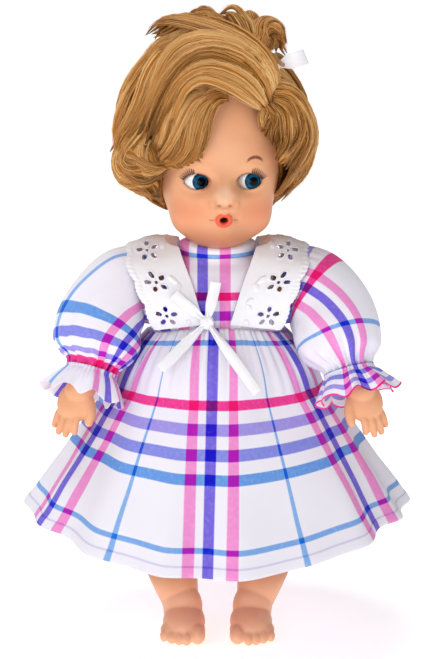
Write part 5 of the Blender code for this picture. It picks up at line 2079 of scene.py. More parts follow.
@dataclass
class Sleeves:
    """Puffed plaid sleeves with elastic cuffs and frills."""

    body: Torso
    arms: Arms
    cloth: float = 0.0006
    cuff_radius: float = 0.0117
    cord: float = 0.0012
    cuff_back: tuple = (-0.0058, 0.0098, 0.0095)
    frill_radius: float = 0.0236
    frill_length: float = 0.0128
    frill_back: float = 0.0022
    frill_swing: tuple = (0.11, 0.03)
    frill_gather: float = 0.05
    frill_dip: float = 0.0020
    frill_cloth: float = 0.0005
    shirrs: int = 40
    shirr_depth: float = 0.10
    cuff_down: float = 0.0018
    armhole_out: float = 0.0010
    frill_inset: float = 0.11
    frill_back_inset: float = 0.34
    frill_waves: int = 8
    frill_pleats: int = 44
    tuck: float = 0.0026
    wrap: float = 0.170
    bend: tuple = (0.031, 0.053)
    collar_bend: tuple = (0.034, 0.066)
    # Place from the armhole, radius and heading of each station of the puff.
    stations: tuple = (
        (0.0000, 0.0000, 0.0000, 0.0174, 1.00, 0.00, 0.00),
        (0.0080, -0.0010, 0.0036, 0.0204, 1.00, -0.10, 0.05),
        (0.0170, -0.0050, 0.0020, 0.0222, 0.85, -0.30, -0.40),
        (0.0265, -0.0125, -0.0080, 0.0230, 0.58, -0.45, -0.66),
        (0.0315, -0.0205, -0.0195, 0.0238, 0.35, -0.50, -0.79),
        (0.0338, -0.0270, -0.0285, 0.0212, 0.22, -0.45, -0.86),
    )
    # The same for the gathered end, from the cuff's middle.
    gathered: tuple = (-0.0008, 0.0016, 0.0035, 0.0138, 0.26, -0.42, -0.87)
    cuff_heading: tuple = (0.25, -0.36, -0.90)
    upright: tuple = (0.0, 1.0, 0.3)
    head_gathers: tuple = (0.05, 24)
    cuff_gathers: tuple = (0.13, 17)
    rumple: tuple = (0.055, 2.4)
    seeds: dict = field(default_factory=lambda: {Side.LEFT: 3.0, Side.RIGHT: 11.0})
    cuts: dict = field(default_factory=lambda: {
        Side.RIGHT: SleeveCut(
            upright_at_centre=0.0160,
            levels=((0.0, 0.0385), (0.143, 0.0449), (0.196, 0.0553), (0.731, 0.1120), (1.0, 0.1120)),
            frill_from=0.0330, frill_to=0.0180, uprights=Plaid.uprights,
        ),
        Side.LEFT: SleeveCut(
            upright_at_centre=0.0105, levels=((0.0, -0.0361), (0.923, 0.0700), (1.0, 0.0700)),
            frill_from=0.0800, frill_to=0.0430, uprights=Plaid.uprights[1:4],
        ),
    })

    def build(self) -> None:
        """Models and dresses both sleeves."""
        for side in Side:
            wrist = self.arms.path(side)[-1].to_3d()
            cuff = wrist + side.mirrored(self.cuff_back)
            self.sleeve(side, cuff)
            heading = side.mirrored(self.cuff_heading).normalized()
            middle = cuff + heading * self.cuff_down
            axes = cross_axes(heading, Vector(self.upright))
            elastic = self.cuff(side, middle, heading, axes)
            self.frill(side, middle - heading * self.frill_back, heading, axes)

    def across(self, cut: SleeveCut, around: float) -> float:
        """Metres across the plaid at a share of a turn, joined at the back."""
        away = (around - cut.centre + 0.5) % 1.0 - 0.5
        return cut.upright_at_centre + away * self.wrap

    def lay_rows(self, side: Side, cuff: Vector) -> list[Vector]:
        """The sleeve's stations of place, radius and heading, from the armhole to the cuff.

        Args:
            side: The sleeve's side.
            cuff: The middle of the cuff.

        Returns:
            The stations.
        """
        height = self.body.neck_foot - self.arms.shoulder_drop
        start = Vector((side.value * (self.body.half_width + self.armhole_out), 0, height))
        rows = []
        for station in self.stations:
            place = start + side.mirrored(station[:3])
            place.x -= side.value * self.tuck * station[0] / self.stations[-1][0]
            rows.append(Vector((*place, station[3], *side.mirrored(station[4:]))))
        near = cuff + side.mirrored(self.gathered[:3])
        rows.append(Vector((*near, self.gathered[3], *side.mirrored(self.gathered[4:]))))
        rows.append(Vector((*cuff, self.cuff_radius, *side.mirrored(self.cuff_heading))))
        return rows

    def sleeve(self, side: Side, cuff: Vector) -> None:
        """Makes the puffed sleeve.

        Args:
            side: The sleeve's side.
            cuff: The middle of the cuff.
        """
        rows = self.lay_rows(side, cuff)
        seed = self.seeds[side]
        cut = self.cuts[side]
        head_size, head_count = self.head_gathers
        cuff_size, cuff_count = self.cuff_gathers
        puff_size, puff_grain = self.rumple

        def spot(around: float, share: float) -> Vector:
            """A point of the puff, gathered at the armhole and at the cuff.

            Args:
                around: The share of a turn.
                share: The share of the length.

            Returns:
                The point.
            """
            row = along(rows, share)
            angle = tau * around
            head_gather = head_size * fade(share, 0.3) * sin(head_count * angle + seed)
            tight = ease((share - 0.60) / 0.40) * (1 - 0.5 * ease((share - 0.95) / 0.05))
            cuff_gather = cuff_size * tight * sin(cuff_count * angle + 2.2 * sin(3 * angle + seed))
            place = ring_point(puff_grain, puff_grain, angle, share * 4 + seed)
            puff = puff_size * sin(pi * share) * noise.noise(place)
            radius = row[3] * (1 + head_gather + cuff_gather + puff)
            axes = cross_axes(Vector(row[4:]).normalized(), Vector(self.upright))
            return Vector(row[:3]) + spoke(axes, angle) * radius

        def chart(around: float, share: float) -> tuple[float, float]:
            """Metres on the plaid that the sleeve is cut from."""
            return self.across(cut, around), cut.level(1 - share)

        sleeve = thicken("plaid_sleeve_" + side.word, patch(240, 90, spot, chart, True), self.cloth)
        dress(sleeve, Plaid(uprights=cut.uprights).material("plaid_sleeve_cotton_" + side.word))
        bend_piece(sleeve, side, *self.bend)
        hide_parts("sleeve_" + side.word)

    def cuff(
        self, side: Side, middle: Vector, heading: Vector, axes: tuple[Vector, Vector],
    ) -> bpy.types.Object:
        """Makes the shirred elastic.

        Args:
            side: The sleeve's side.
            middle: The middle of the elastic.
            heading: Where the arm leads through it.
            axes: Two directions across it.

        Returns:
            The elastic.
        """

        def spot(around: float, share: float) -> Vector:
            """A point of the elastic's ring.

            Args:
                around: The share of a turn round the arm.
                share: The share of a turn round the cord.

            Returns:
                The point.
            """
            angle, roll = tau * around, tau * share
            shirr = 1 + self.shirr_depth * sin(self.shirrs * angle)
            out = self.cuff_radius + self.cord * shirr * cos(roll)
            return middle + spoke(axes, angle) * out + heading * self.cord * sin(roll)

        elastic = place_piece("shirred_cuff_" + side.word, closed(160, 12, spot))
        dress(elastic, EyeletCotton("cuff_cotton_" + side.word).material())
        return seat(elastic, side.word + "_arm", "sleeve_elastic_" + side.word)

    def frill(
        self, side: Side, start: Vector, heading: Vector, axes: tuple[Vector, Vector],
    ) -> None:
        """Makes the frill below the elastic.

        Args:
            side: The sleeve's side.
            start: The middle of the frill's gathered edge.
            heading: Where the arm leads through it.
            axes: Two directions across it.
        """
        root = self.cuff_radius + self.cord * 1.3
        cut = self.cuts[side]
        large, small = self.frill_swing

        def spot(around: float, share: float) -> Vector:
            """A point of the frill, drawn in where it would brush the skirt.

            Args:
                around: The share of a turn.
                share: The share of the length.

            Returns:
                The point.
            """
            angle = tau * around
            waves = self.frill_waves * angle + 0.5 * sin(4 * angle + side.value)
            radius = root + (self.frill_radius - root) * max(share - 0.15, 0.0) ** 0.8
            radius *= 1 + large * share * cos(waves) + small * share * cos(2 * waves + 1)
            radius *= 1 + self.frill_gather * fade(share, 0.6) * sin(self.frill_pleats * angle)
            out = spoke(axes, angle)
            inward = max(-side.value * out.x, 0.0)
            radius *= 1 - share * inward * (self.frill_inset + self.frill_back_inset * max(out.y, 0.0))
            drop = (self.frill_length + self.frill_back) * share + self.frill_dip * share * sin(waves)
            return start + out * radius + heading * drop

        def chart(around: float, share: float) -> tuple[float, float]:
            """Metres on the plaid that the frill is cut from."""
            return self.across(cut, around), cut.frill_from + (cut.frill_to - cut.frill_from) * share

        piece = thicken("plaid_frill_" + side.word, patch(264, 18, spot, chart, True), self.frill_cloth)
        dress(piece, Plaid(uprights=cut.uprights).material("plaid_frill_cotton_" + side.word))
        seat(piece, side.word + "_arm", "sleeve_ruffle_" + side.word)


@dataclass
class Eyelet:
    """One sewn hole of the collar, on its flat chart in metres."""

    u: float
    v: float
    long: float
    wide: float
    angle: float

    def distance(self, u: float, v: float) -> tuple[float, float, float]:
        """How far a place is outside the hole, and the nearest place on its edge.

        Args:
            u: Metres across the collar.
            v: Metres along it.

        Returns:
            The distance, and the edge's two places.
        """
        du, dv = u - self.u, v - self.v
        c, s = cos(self.angle), sin(self.angle)
        a, b = du * c + dv * s, dv * c - du * s
        ratio = sqrt((a / self.long) ** 2 + (b / self.wide) ** 2) or 0.001
        a, b = a / ratio, b / ratio
        edge_u, edge_v = self.u + a * c - b * s, self.v + a * s + b * c
        away = sqrt((edge_u - u) ** 2 + (edge_v - v) ** 2)
        return (away if ratio > 1 else -away), edge_u, edge_v


class HeadSweep:
    """The space that the head takes as it turns from one limit to the other."""

    turns: int = 24
    below: float = 0.030
    room: float = 0.0016

    def __init__(self, head: bpy.types.Object) -> None:
        """Reads the head's surface and its joint.

        Args:
            head: The finished head.
        """
        corners = [corner.co for corner in head.data.vertices]
        self.tree = BVHTree.FromPolygons(corners, [face.vertices for face in head.data.polygons])
        joint = next(joint for joint in frame["joints"] if joint["name"] == "head_turn")
        self.pivot = Vector(joint["pos_m"])
        low, high = joint["range_deg"]
        angles = [radians(low + (high - low) * k / self.turns) for k in range(self.turns + 1)]
        self.ways = [Matrix.Rotation(-angle, 3, "Z") for angle in angles]

    def clear(self, place: Vector) -> Vector:
        """A place of a cloth, lowered where the turning head would brush it.

        Args:
            place: The place.

        Returns:
            The place that keeps clear.
        """
        top = place.z
        for way in self.ways:
            start = way @ (place - self.pivot) + self.pivot
            start.z = self.pivot.z - self.below
            hit = self.tree.ray_cast(start, Vector((0, 0, 1)), place.z + self.room - start.z)[0]
            if hit:
                top = min(top, hit.z - self.room)
        return Vector((place.x, place.y, top))


@dataclass
class Collar:
    """One half of the white eyelet collar."""

    side: Side
    body: Torso
    sweep: HeadSweep
    neckband_radius: float = 0.0205
    stand: float = 0.0041
    crown: float = 0.0022
    cloth: float = 0.0006
    cells_across: int = 66
    cells_along: int = 230
    picots: int = 46
    lobes: int = 7
    # Places along the neck edge and the outer edge; None lies on the chest.
    inner: tuple = (
        (-0.0137, None, -0.0320), (-0.0105, None, -0.0220), (-0.0070, None, -0.0112),
        (-0.0010, -0.0190, 0.0040), (0.0016, -0.0060, 0.0108), (0.0008, 0.0145, 0.0080),
        (-0.0018, 0.0255, -0.0030), (-0.0045, 0.0285, -0.0165), (-0.0065, 0.0295, -0.0265),
    )
    outer: tuple = (
        (-0.0007, -0.0280, -0.0358), (0.0040, -0.0295, -0.0235), (0.0087, -0.0285, -0.0125),
        (0.0137, -0.0215, -0.0005), (0.0145, -0.0010, 0.0070), (0.0127, 0.0145, 0.0025),
        (0.0087, 0.0220, -0.0080), (0.0045, 0.0260, -0.0185), (0.0005, 0.0285, -0.0265),
    )
    # Share of the length, share of the width and turn of each flower and leaf.
    flowers: tuple = (
        (0.078, 0.66, 0.4), (0.270, 0.62, 0.1), (0.420, 0.60, 0.3), (0.570, 0.60, 0.0), (0.715, 0.60, 0.5),
        (0.870, 0.58, 0.2),
    )
    leaves: tuple = (
        (0.115, 0.25, 0.6), (0.155, 0.22, -0.5), (0.240, 0.26, 0.4), (0.275, 0.30, -0.7), (0.030, 0.30, 0.3),
        (0.440, 0.30, 0.4), (0.600, 0.26, -0.4), (0.760, 0.26, 0.5), (0.930, 0.26, -0.3),
    )
    leaf: tuple = (0.0012, 0.0026, 0.0007)
    leaf_nearby: float = 0.005
    picot_out: float = 0.0005
    lobe_out: float = 0.0018
    lobe_in: float = 0.0010
    petals: int = 5
    petal: tuple = (0.0018, 0.0012)
    petal_out: float = 0.0043
    heart: float = 0.0009
    edge_hole: float = 0.0005
    edge_in: float = 0.0022
    stitch: tuple = (0.00042, 0.00060)
    nearby: float = 0.004
    cross_steps: int = 6

    def __post_init__(self) -> None:
        """Lays out the collar's rows and its sewn holes."""
        self.rows = self.lay_rows()
        middle = len(self.rows[0]) // 2
        self.length = sum((a[middle] - b[middle]).length for a, b in zip(self.rows, self.rows[1:]))
        self.cache: dict[float, list[Vector]] = {}
        self.holes = self.sew_holes()

    def lay_rows(self) -> list[list[Vector]]:
        """Rows of points from the neck edge to the outer edge.

        Returns:
            The rows.
        """
        rows = []
        for (near_x, near_y, near_z), (far_x, far_y, far_z) in zip(self.inner, self.outer):
            start = Vector((self.neckband_radius + near_x, 0, self.body.neck_foot + near_z))
            start.y = self.body.depth(start.x, start.z, self.stand) if near_y is None else near_y
            end = Vector((self.body.half_width + far_x, far_y, self.body.neck_foot + far_z))
            over = near_y is not None and -0.01 < near_y < 0.02
            behind = start.y > 0.01
            row = []
            for step in range(self.cross_steps + 1):
                point = start.lerp(end, step / self.cross_steps)
                surface = self.body.depth(point.x, point.z, self.stand, behind)
                if over:
                    point.z += self.crown * sin(pi * step / self.cross_steps)
                else:
                    point.y = max(point.y, surface) if behind else min(point.y, surface)
                row.append(self.side.mirrored(point))
            rows.append(row)
        return rows

    def row(self, share: float) -> list[Vector]:
        """The collar's cross row at a share of its length."""
        if share not in self.cache:
            columns = zip(*self.rows)
            self.cache[share] = [along(column, share) for column in columns]
        return self.cache[share]

    def width(self, share: float) -> float:
        """The collar's width at a share of its length."""
        row = self.row(round(share * 400) / 400)
        return (row[-1] - row[0]).length

    def scallop(self, share: float) -> float:
        """How far the outer edge swings out, in metres."""
        fine = self.picot_out * abs(sin(pi * self.picots * share))
        return fine + self.lobe_out * abs(sin(pi * self.lobes * share)) ** 0.6 - self.lobe_in

    def spot(self, across: float, share: float) -> Vector:
        """A point of the collar.

        Args:
            across: The share of the width.
            share: The share of the length.

        Returns:
            The point.
        """
        row = self.row(share)
        point = along(row, min(across, 1.0))
        edge = ease((across - 0.75) / 0.25)
        return point + (row[-1] - row[-2]).normalized() * self.scallop(share) * edge

    def sew_holes(self) -> list[Eyelet]:
        """The flowers' petals and hearts, and the small holes along the edge.

        Returns:
            The holes.
        """
        holes = []
        for share, across, turn in self.flowers:
            u, v = across * self.width(share), share * self.length
            holes.append(Eyelet(u, v, self.heart, self.heart, 0.0))
            for k in range(self.petals):
                angle = turn + tau * k / self.petals
                out_u, out_v = self.petal_out * cos(angle), self.petal_out * sin(angle)
                holes.append(Eyelet(u + out_u, v + out_v, *self.petal, angle))
        for k in range(self.picots):
            share = (k + 0.5) / self.picots
            u = self.width(share) - self.edge_in
            holes.append(Eyelet(u, share * self.length, self.edge_hole, self.edge_hole, 0.0))
        return holes

    def build(self) -> bpy.types.Object:
        """Models and dresses the collar.

        Returns:
            The collar.
        """
        shape = patch(self.cells_across, self.cells_along, lambda u, v: Vector((u, v, 0)), self.chart)
        gone, lifts = self.sew(shape)
        for corner in shape.verts:
            corner.co = self.sweep.clear(self.spot(corner.co.x, clamp(corner.co.y)))
        bmesh.ops.delete(shape, geom=gone, context="VERTS")
        bmesh.ops.recalc_face_normals(shape, faces=shape.faces)
        shape.normal_update()
        inside = Vector((0, 0, 0.17))
        if sum(corner.normal.dot(corner.co - inside) for corner in shape.verts) < 0:
            bmesh.ops.reverse_faces(shape, faces=shape.faces)
            shape.normal_update()
        moves = [(corner, corner.normal * lifts[corner]) for corner in shape.verts]
        for corner, move in moves:
            corner.co += move
        collar = thicken("eyelet_collar_" + self.side.word, shape, self.cloth)
        return dress(collar, EyeletCotton("eyelet_cotton_" + self.side.word).material())

    def sew(self, shape: bmesh.types.BMesh) -> tuple[list, dict]:
        """Draws the corners of the flat collar to the edges of the sewn holes.

        Args:
            shape: The flat collar, with its shares as places.

        Returns:
            The corners inside holes, and how far the stitching lifts each other corner.
        """
        cell = self.length / self.cells_along
        height, reach = self.stitch
        gone, lifts = [], {}
        for corner in shape.verts:
            across, share = corner.co.x, corner.co.y
            wide = self.width(share)
            u, v = across * wide, share * self.length
            lift = self.leaf_height(u, v)
            for hole in self.holes:
                if abs(hole.v - v) > self.nearby or abs(hole.u - u) > self.nearby:
                    continue
                away, edge_u, edge_v = hole.distance(u, v)
                if away < -cell * 0.55:
                    gone.append(corner)
                    break
                if away < cell * 0.5:
                    u, v = edge_u, edge_v
                lift = max(lift, height * bell(max(away, 0.0), reach))
            corner.co.x, corner.co.y = u / wide, v / self.length
            lifts[corner] = lift
        return gone, lifts

    def chart(self, across: float, share: float) -> tuple[float, float]:
        """Metres on the flat cotton."""
        return across * self.width(share), share * self.length

    def leaf_height(self, u: float, v: float) -> float:
        """Height of the raised satin-stitch leaves at a place.

        Args:
            u: Metres across the collar.
            v: Metres along it.

        Returns:
            The height.
        """
        best = 0.0
        wide, long, height = self.leaf
        for share, across, turn in self.leaves:
            du, dv = u - across * self.width(share), v - share * self.length
            if abs(du) > self.leaf_nearby or abs(dv) > self.leaf_nearby:
                continue
            a, b = du * cos(turn) + dv * sin(turn), dv * cos(turn) - du * sin(turn)
            best = max(best, height * ease((1.15 - sqrt((a / wide) ** 2 + (b / long) ** 2)) / 0.4))
        return best


@dataclass
class RibbonTie:
    """The white satin ribbon tied at the waist, with four loose ends."""

    body: Torso
    aside: float = 0.0055
    rise: float = 0.0075
    waist_drop: float = 0.0375
    stand: float = 0.0078
    width: float = 0.0058
    knot: tuple = (0.0040, 0.0026, 0.0036)
    cloth: float = 0.0004
    crease: float = 0.10
    bow_across: float = 0.0007
    bow_along: float = 0.0008
    fold: float = 0.0009
    # Name, reach sideways, reach upwards and flare of each loose end.
    ends: tuple = (
        ("upper_right", -0.0180, 0.0150, 0.0000), ("upper_left", 0.0047, 0.0215, 0.0000),
        ("lower_right", -0.0245, -0.0225, 0.0150), ("lower_left", 0.0265, -0.0335, 0.0230),
    )

    def __post_init__(self) -> None:
        """Takes the knot's place from the waist and from the frame."""
        self.waist = self.body.neck_foot - self.waist_drop
        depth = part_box("ribbon_knot")[0].y + self.knot[1]
        self.middle = Vector((-self.aside, depth, self.waist + self.rise))
        self.satin = SatinRibbon().material()

    def build(self) -> None:
        """Models and dresses the knot and the ends."""

        def spot(around: float, share: float) -> Vector:
            """A point of the creased knot.

            Args:
                around: The share of a turn.
                share: The share of the length.

            Returns:
                The point.
            """
            angle, level = tau * around, pi * (share - 0.5)
            crease = cos(level) * (1 + self.crease * cos(5 * angle + 6 * share))
            out = ring_point(crease, crease, angle, sin(level))
            return self.middle + Vector(size * value for size, value in zip(reversed(self.knot), out))

        shape = closed(40, 24, spot, lambda u, v: (u * 0.02, v * 0.01))
        seat(dress(place_piece("satin_knot", shape), self.satin), "torso", "ribbon_knot")
        for word, aside, up, flare in self.ends:
            self.tail(word, aside, up, flare)

    def tail(self, word: str, aside: float, up: float, flare: float) -> None:
        """Makes one loose end.

        Args:
            word: Which end it is.
            aside: Its reach sideways.
            up: Its reach upwards.
            flare: How far its tip stands out.
        """
        reach = Vector((aside, 0, up))
        away = reach.normalized()
        across = Vector((-away.z, 0, away.x))
        length = reach.length

        def spot(wide: float, share: float) -> Vector:
            """A point of the end, pinched and folded at the knot.

            Args:
                wide: The share of the width.
                share: The share of the length.

            Returns:
                The point.
            """
            point = self.middle + reach * (0.06 + 0.94 * share)
            surface = self.body.depth(point.x, max(point.z, self.waist), self.stand)
            point.y = min(surface, self.middle.y + 0.002 * share) - flare * share
            pinch = 0.5 + 0.5 * ease(share * 2.2)
            curl = self.bow_across * sin(pi * wide) + self.bow_along * sin(5 * share + aside * 90) * share
            fold = self.fold * (1 - ease(share * 2.5)) * cos(3 * pi * wide)
            point.y -= curl + fold
            return point + across * (wide - 0.5) * self.width * pinch

        shape = patch(14, 36, spot, lambda u, v: (u * self.width, v * length))
        tail = dress(thicken("satin_tail_" + word, shape, self.cloth), self.satin)
        if up < 0:
            lift_lap(tail, "ribbon_end_" + word)
        else:
            seat(tail, "torso", "ribbon_end_" + word)


@dataclass
class Lock:
    """One lock of hair: a soft core with strands laid over it."""

    route: list
    half_width: float = 0.0
    half_depth: float = 0.0
    strands: int = 0
    tone: float = 0.0
    twist: float = 0.0
    reach: float = 0.03

    def axes_at(self, share: float, middle: Vector) -> tuple[Vector, Vector, Vector]:
        """The lock's place, its sideways direction and its outward direction.

        Args:
            share: The share of the length.
            middle: The middle of the hair.

        Returns:
            The place and the two directions.
        """
        here = along(self.route, share)
        way = heading_along(self.route, share, self.reach).normalized()
        out = here - middle
        out = (out - way * out.dot(way)).normalized()
        return here, way.cross(out), out

    def fullness(self, share: float) -> tuple[float, float]:
        """How wide and how deep the lock is along its length: flat at the root, thin at the tip."""
        tip = max(1 - share ** 2.4, 0.0) ** 0.75
        return (0.5 + 0.5 * ease(share / 0.2)) * tip, (0.1 + 0.9 * ease(share / 0.35)) * tip


@dataclass(frozen=True)
class Combing:
    """How listed routes are combed into locks, in millimetres."""

    half_width: float
    half_depth: float
    strands: int
    wave: float
    locks: int = 3


@dataclass
class Hair:
    """Rooted honey-blond hair, combed up from the side into curls, with a satin bow."""

    head: Head
    half_width: float = 0.0552
    half_depth: float = 0.0540
    half_height: float = 0.0520
    rise: float = 0.0595
    lean: float = 0.0015
    shift: float = 0.0040
    trim: float = 0.0165
    nape: float = 0.0060
    front_rise: float = 0.0140
    strand_radius: float = 0.00014
    seed: int = 7
    inset: float = 0.0022
    smoothing: int = 2
    route_steps: int = 16
    strand_steps: int = 16
    mass_inset: float = 0.0055
    mass_cloth: float = 0.0016
    # Painted shade: the under-mass is given a dark tone, which shows in the gaps between the locks.
    mass_shade_tone: float = 0.20
    scalp_gap: float = 0.0010
    face_fade: float = 0.014
    face_depth: float = -0.008
    foot_fade: float = 0.03
    # Locks, first level and last level in degrees of each layer behind.
    layers: tuple = ((34, 78, -42), (30, 52, -48), (26, 24, -52))
    back_strands: int = 34
    back_inset: float = 0.0045
    # Painted shade: how much darker each lock's core is than the strands that lie over it.
    core_shade: float = 0.32
    bow_shift: tuple = (-4.0, -1.0, -4.5)
    bow_knot: tuple = (0.0026, 0.0026, 0.0032)
    bow_out: float = 0.0022
    bow_length: float = 0.0145
    bow_width: float = 0.0080
    bow_bulge: float = 0.0040
    bow_cloth: float = 0.0004
    # Outline of the face that the hair leaves free, from the eyes' level.
    hairline: tuple = (
        (-0.0310, -0.0648), (-0.0310, 0.0052), (-0.0205, 0.0072), (-0.0105, 0.0127), (-0.0100, 0.0322),
        (-0.0040, 0.0450), (0.0060, 0.0450), (0.0180, 0.0405), (0.0260, 0.0330), (0.0325, 0.0012),
        (0.0325, -0.0648),
    )
    # Routes of the listed locks, in millimetres from the neck joint.
    swoops: tuple = (
        ((30, -33, 79), (27, -38, 91), (20, -37, 103), (8, -30, 113), (-8, -22, 119), (-25, -16, 121),
         (-34, -12, 118), (-41, -10, 112)),
        ((28, -36, 78), (26, -42, 86), (19, -43, 97), (7, -41, 106), (-9, -39, 110), (-22, -39, 106),
         (-31, -38, 96), (-37, -36, 82), (-45, -30, 63), (-53, -20, 48)),
        ((26, -38, 77), (23, -44, 84), (15, -47, 93), (3, -48, 100), (-10, -48, 103), (-22, -46, 98),
         (-30, -44, 87), (-35, -41, 71), (-42, -35, 54)),
        ((23, -39, 77), (19, -45, 82), (10, -48, 90), (-1, -49, 95), (-12, -49, 97), (-23, -47, 91),
         (-30, -45, 80), (-34, -42, 66), (-39, -37, 51)),
    )
    fringe: tuple = (
        ((-1, -38, 82), (-7, -42, 83), (-14, -45, 77), (-17, -46, 66), (-18, -45, 56), (-22, -43, 49),
         (-29, -41, 45)),
        ((-2, -38, 83), (-10, -42, 84), (-18, -45, 78), (-22, -46, 67), (-24, -45, 56),
         (-29, -42, 48), (-36, -39, 44)),
        ((-4, -38, 84), (-13, -42, 85), (-22, -45, 80), (-28, -45, 69), (-31, -43, 57),
         (-37, -39, 48), (-44, -34, 43)),
        ((4, -38, 81), (-2, -42, 83), (-9, -44, 80), (-13, -45, 70), (-14, -45, 60), (-16, -44, 52),
         (-21, -43, 47)),
    )
    crown: tuple = (
        ((18, -30, 103), (0, -28, 112), (-18, -24, 112), (-31, -24, 102), (-41, -24, 86),
         (-48, -24, 68), (-53, -22, 52)),
        ((20, -34, 99), (4, -28, 110), (-12, -22, 115), (-26, -18, 112), (-36, -16, 104), (-43, -16, 94)),
        ((24, -36, 92), (14, -37, 103), (-2, -33, 110), (-16, -30, 110), (-28, -31, 101),
         (-37, -32, 87), (-44, -30, 70), (-50, -25, 54)),
    )
    # Left and right of the hair are as the camera sees them.
    left_curls: tuple = (
        ((-42, -28, 68), (-50, -26, 57), (-54, -27, 47), (-49, -33, 41), (-39, -38, 40), (-28, -40, 43)),
        ((-46, -18, 62), (-55, -18, 52), (-57, -20, 43), (-52, -26, 37), (-43, -31, 36), (-34, -34, 39)),
        ((-46, -4, 56), (-53, -6, 44), (-49, -12, 36), (-42, -16, 31), (-36, -19, 30)),
        ((-44, -30, 60), (-48, -31, 52), (-46, -34, 46), (-40, -37, 43), (-30, -40, 45)),
        ((-40, -34, 58), (-43, -35, 50), (-40, -37, 45), (-34, -39, 43), (-24, -41, 45)),
        ((-50, -14, 46), (-51, -18, 38), (-46, -22, 32), (-39, -24, 29), (-34, -24, 28)),
        ((-47, -6, 42), (-47, -11, 33), (-42, -15, 27), (-36, -17, 24)),
        ((-26, -14, 114), (-38, -16, 100), (-48, -16, 82), (-55, -14, 62), (-57, -14, 48)),
        ((-28, -4, 114), (-42, -6, 98), (-52, -6, 80), (-57, -5, 60), (-55, -8, 44), (-47, -12, 35)),
    )
    right_curls: tuple = (
        ((26, -38, 82), (36, -35, 81), (43, -32, 70), (44, -32, 58), (38, -36, 48), (32, -38, 42)),
        ((27, -36, 85), (40, -31, 80), (48, -25, 66), (49, -24, 52), (43, -28, 40), (35, -31, 34)),
        ((28, -34, 87), (42, -27, 79), (51, -18, 62), (53, -12, 48), (48, -11, 36), (40, -13, 26),
         (33, -15, 21)),
        ((26, -22, 96), (40, -16, 86), (50, -8, 68), (53, -4, 52), (48, -4, 38), (40, -6, 26)),
        ((22, -37, 79), (26, -39, 72), (25, -40, 64), (22, -41, 59)),
        ((26, -36, 79), (31, -38, 72), (31, -39, 62), (28, -40, 53)),
        ((28, -35, 80), (36, -36, 72), (37, -36, 60), (34, -37, 50), (30, -38, 44)),
    )
    tufts: tuple = (
        ((20, -20, 104), (16, -18, 115), (11, -15, 122), (5, -12, 125), (-2, -10, 122)),
        ((22, -16, 104), (24, -14, 116), (30, -12, 119), (36, -10, 113), (36, -9, 106)),
        ((10, -20, 109), (2, -20, 118), (-8, -16, 122), (-16, -12, 120)),
        ((18, -10, 107), (20, -8, 118), (16, -4, 123), (10, 2, 121)),
        ((14, -12, 109), (6, -8, 119), (-4, -2, 121), (-12, 4, 116)),
        ((24, -8, 104), (30, -4, 113), (36, 2, 109), (38, 6, 100)),
        ((-4, -16, 112), (-16, -12, 119), (-26, -8, 118), (-36, -6, 110)),
        ((2, -12, 110), (-2, -12, 121), (-8, -11, 125), (-14, -10, 123), (-18, -9, 117)),
    )

    def __post_init__(self) -> None:
        """Starts the hair's own run of chance."""
        self.chance = random.Random(self.seed)
        self.middle = Vector((-self.lean, self.shift, self.rise))

    def form(self, direction: Vector, grow: float) -> Vector:
        """The hair's outer form in a direction.

        Args:
            direction: The direction from its middle.
            grow: How far it is grown.

        Returns:
            The point, in the head's frame.
        """
        x, y, z = direction
        power = 2.1 if z > 0 else 2.6
        swell = (sqrt(x * x + y * y) ** power + abs(z) ** power) ** (1 / power)
        sizes = (self.half_width, self.half_depth, self.half_height)
        return self.middle + Vector(value / swell * (size + grow) for value, size in zip((x, y, z), sizes))

    def face_distance(self, point: Vector) -> float:
        """How far a point in front lies outside the hairline, negative inside it.

        Args:
            point: The point, in the head's frame.

        Returns:
            The distance.
        """
        spot = Vector((point.x, point.z - self.head.eye_z))
        corners = [Vector(corner) for corner in self.hairline]
        best, inside = 1.0, False
        for one, two in zip(corners, corners[1:] + corners[:1]):
            edge = two - one
            share = clamp((spot - one).dot(edge) / edge.length_squared)
            best = min(best, (spot - one - edge * share).length)
            if (one.y > spot.y) != (two.y > spot.y) and spot.x < one.x + edge.x * (spot.y - one.y) / edge.y:
                inside = not inside
        return -best if inside else best

    def build(self) -> None:
        """Models and dresses the hair and its bow."""
        fibre = HairFibre()
        mass = self.mass()
        seat(dress(mass, fibre.material("hair_mass_fibre", 0.5)), "head", "hair_cap")
        behind = self.back_locks()
        half = len(behind) // 2
        groups = {
            "swoop": self.split(self.swoops, Combing(5.6, 1.9, 84, 1.6)),
            "fringe": self.split(self.fringe, Combing(4.4, 1.5, 84, 1.2)),
            "crown": self.split(self.crown, Combing(6.0, 1.9, 84, 2.6)),
            "left": self.split(self.left_curls, Combing(5.4, 2.0, 50, 3.2)),
            "right": self.split(self.right_curls, Combing(4.8, 2.0, 62, 2.4)),
            "tuft": self.split(self.tufts, Combing(4.6, 2.0, 54, 2.0)),
            "back_upper": behind[:half],
            "back_lower": behind[half:],
        }
        for name, locks in groups.items():
            nodes = ("hair_topknot",) if name == "tuft" else ()
            core = self.cores("hair_locks_" + name, locks)
            seat(dress(core, fibre.material("lock_fibre_" + name, 0.7)), "head", *nodes)
            strands = self.strands("hair_strands_" + name, locks)
            seat(dress(strands, fibre.material("strand_fibre_" + name)), "head")
        self.bow()

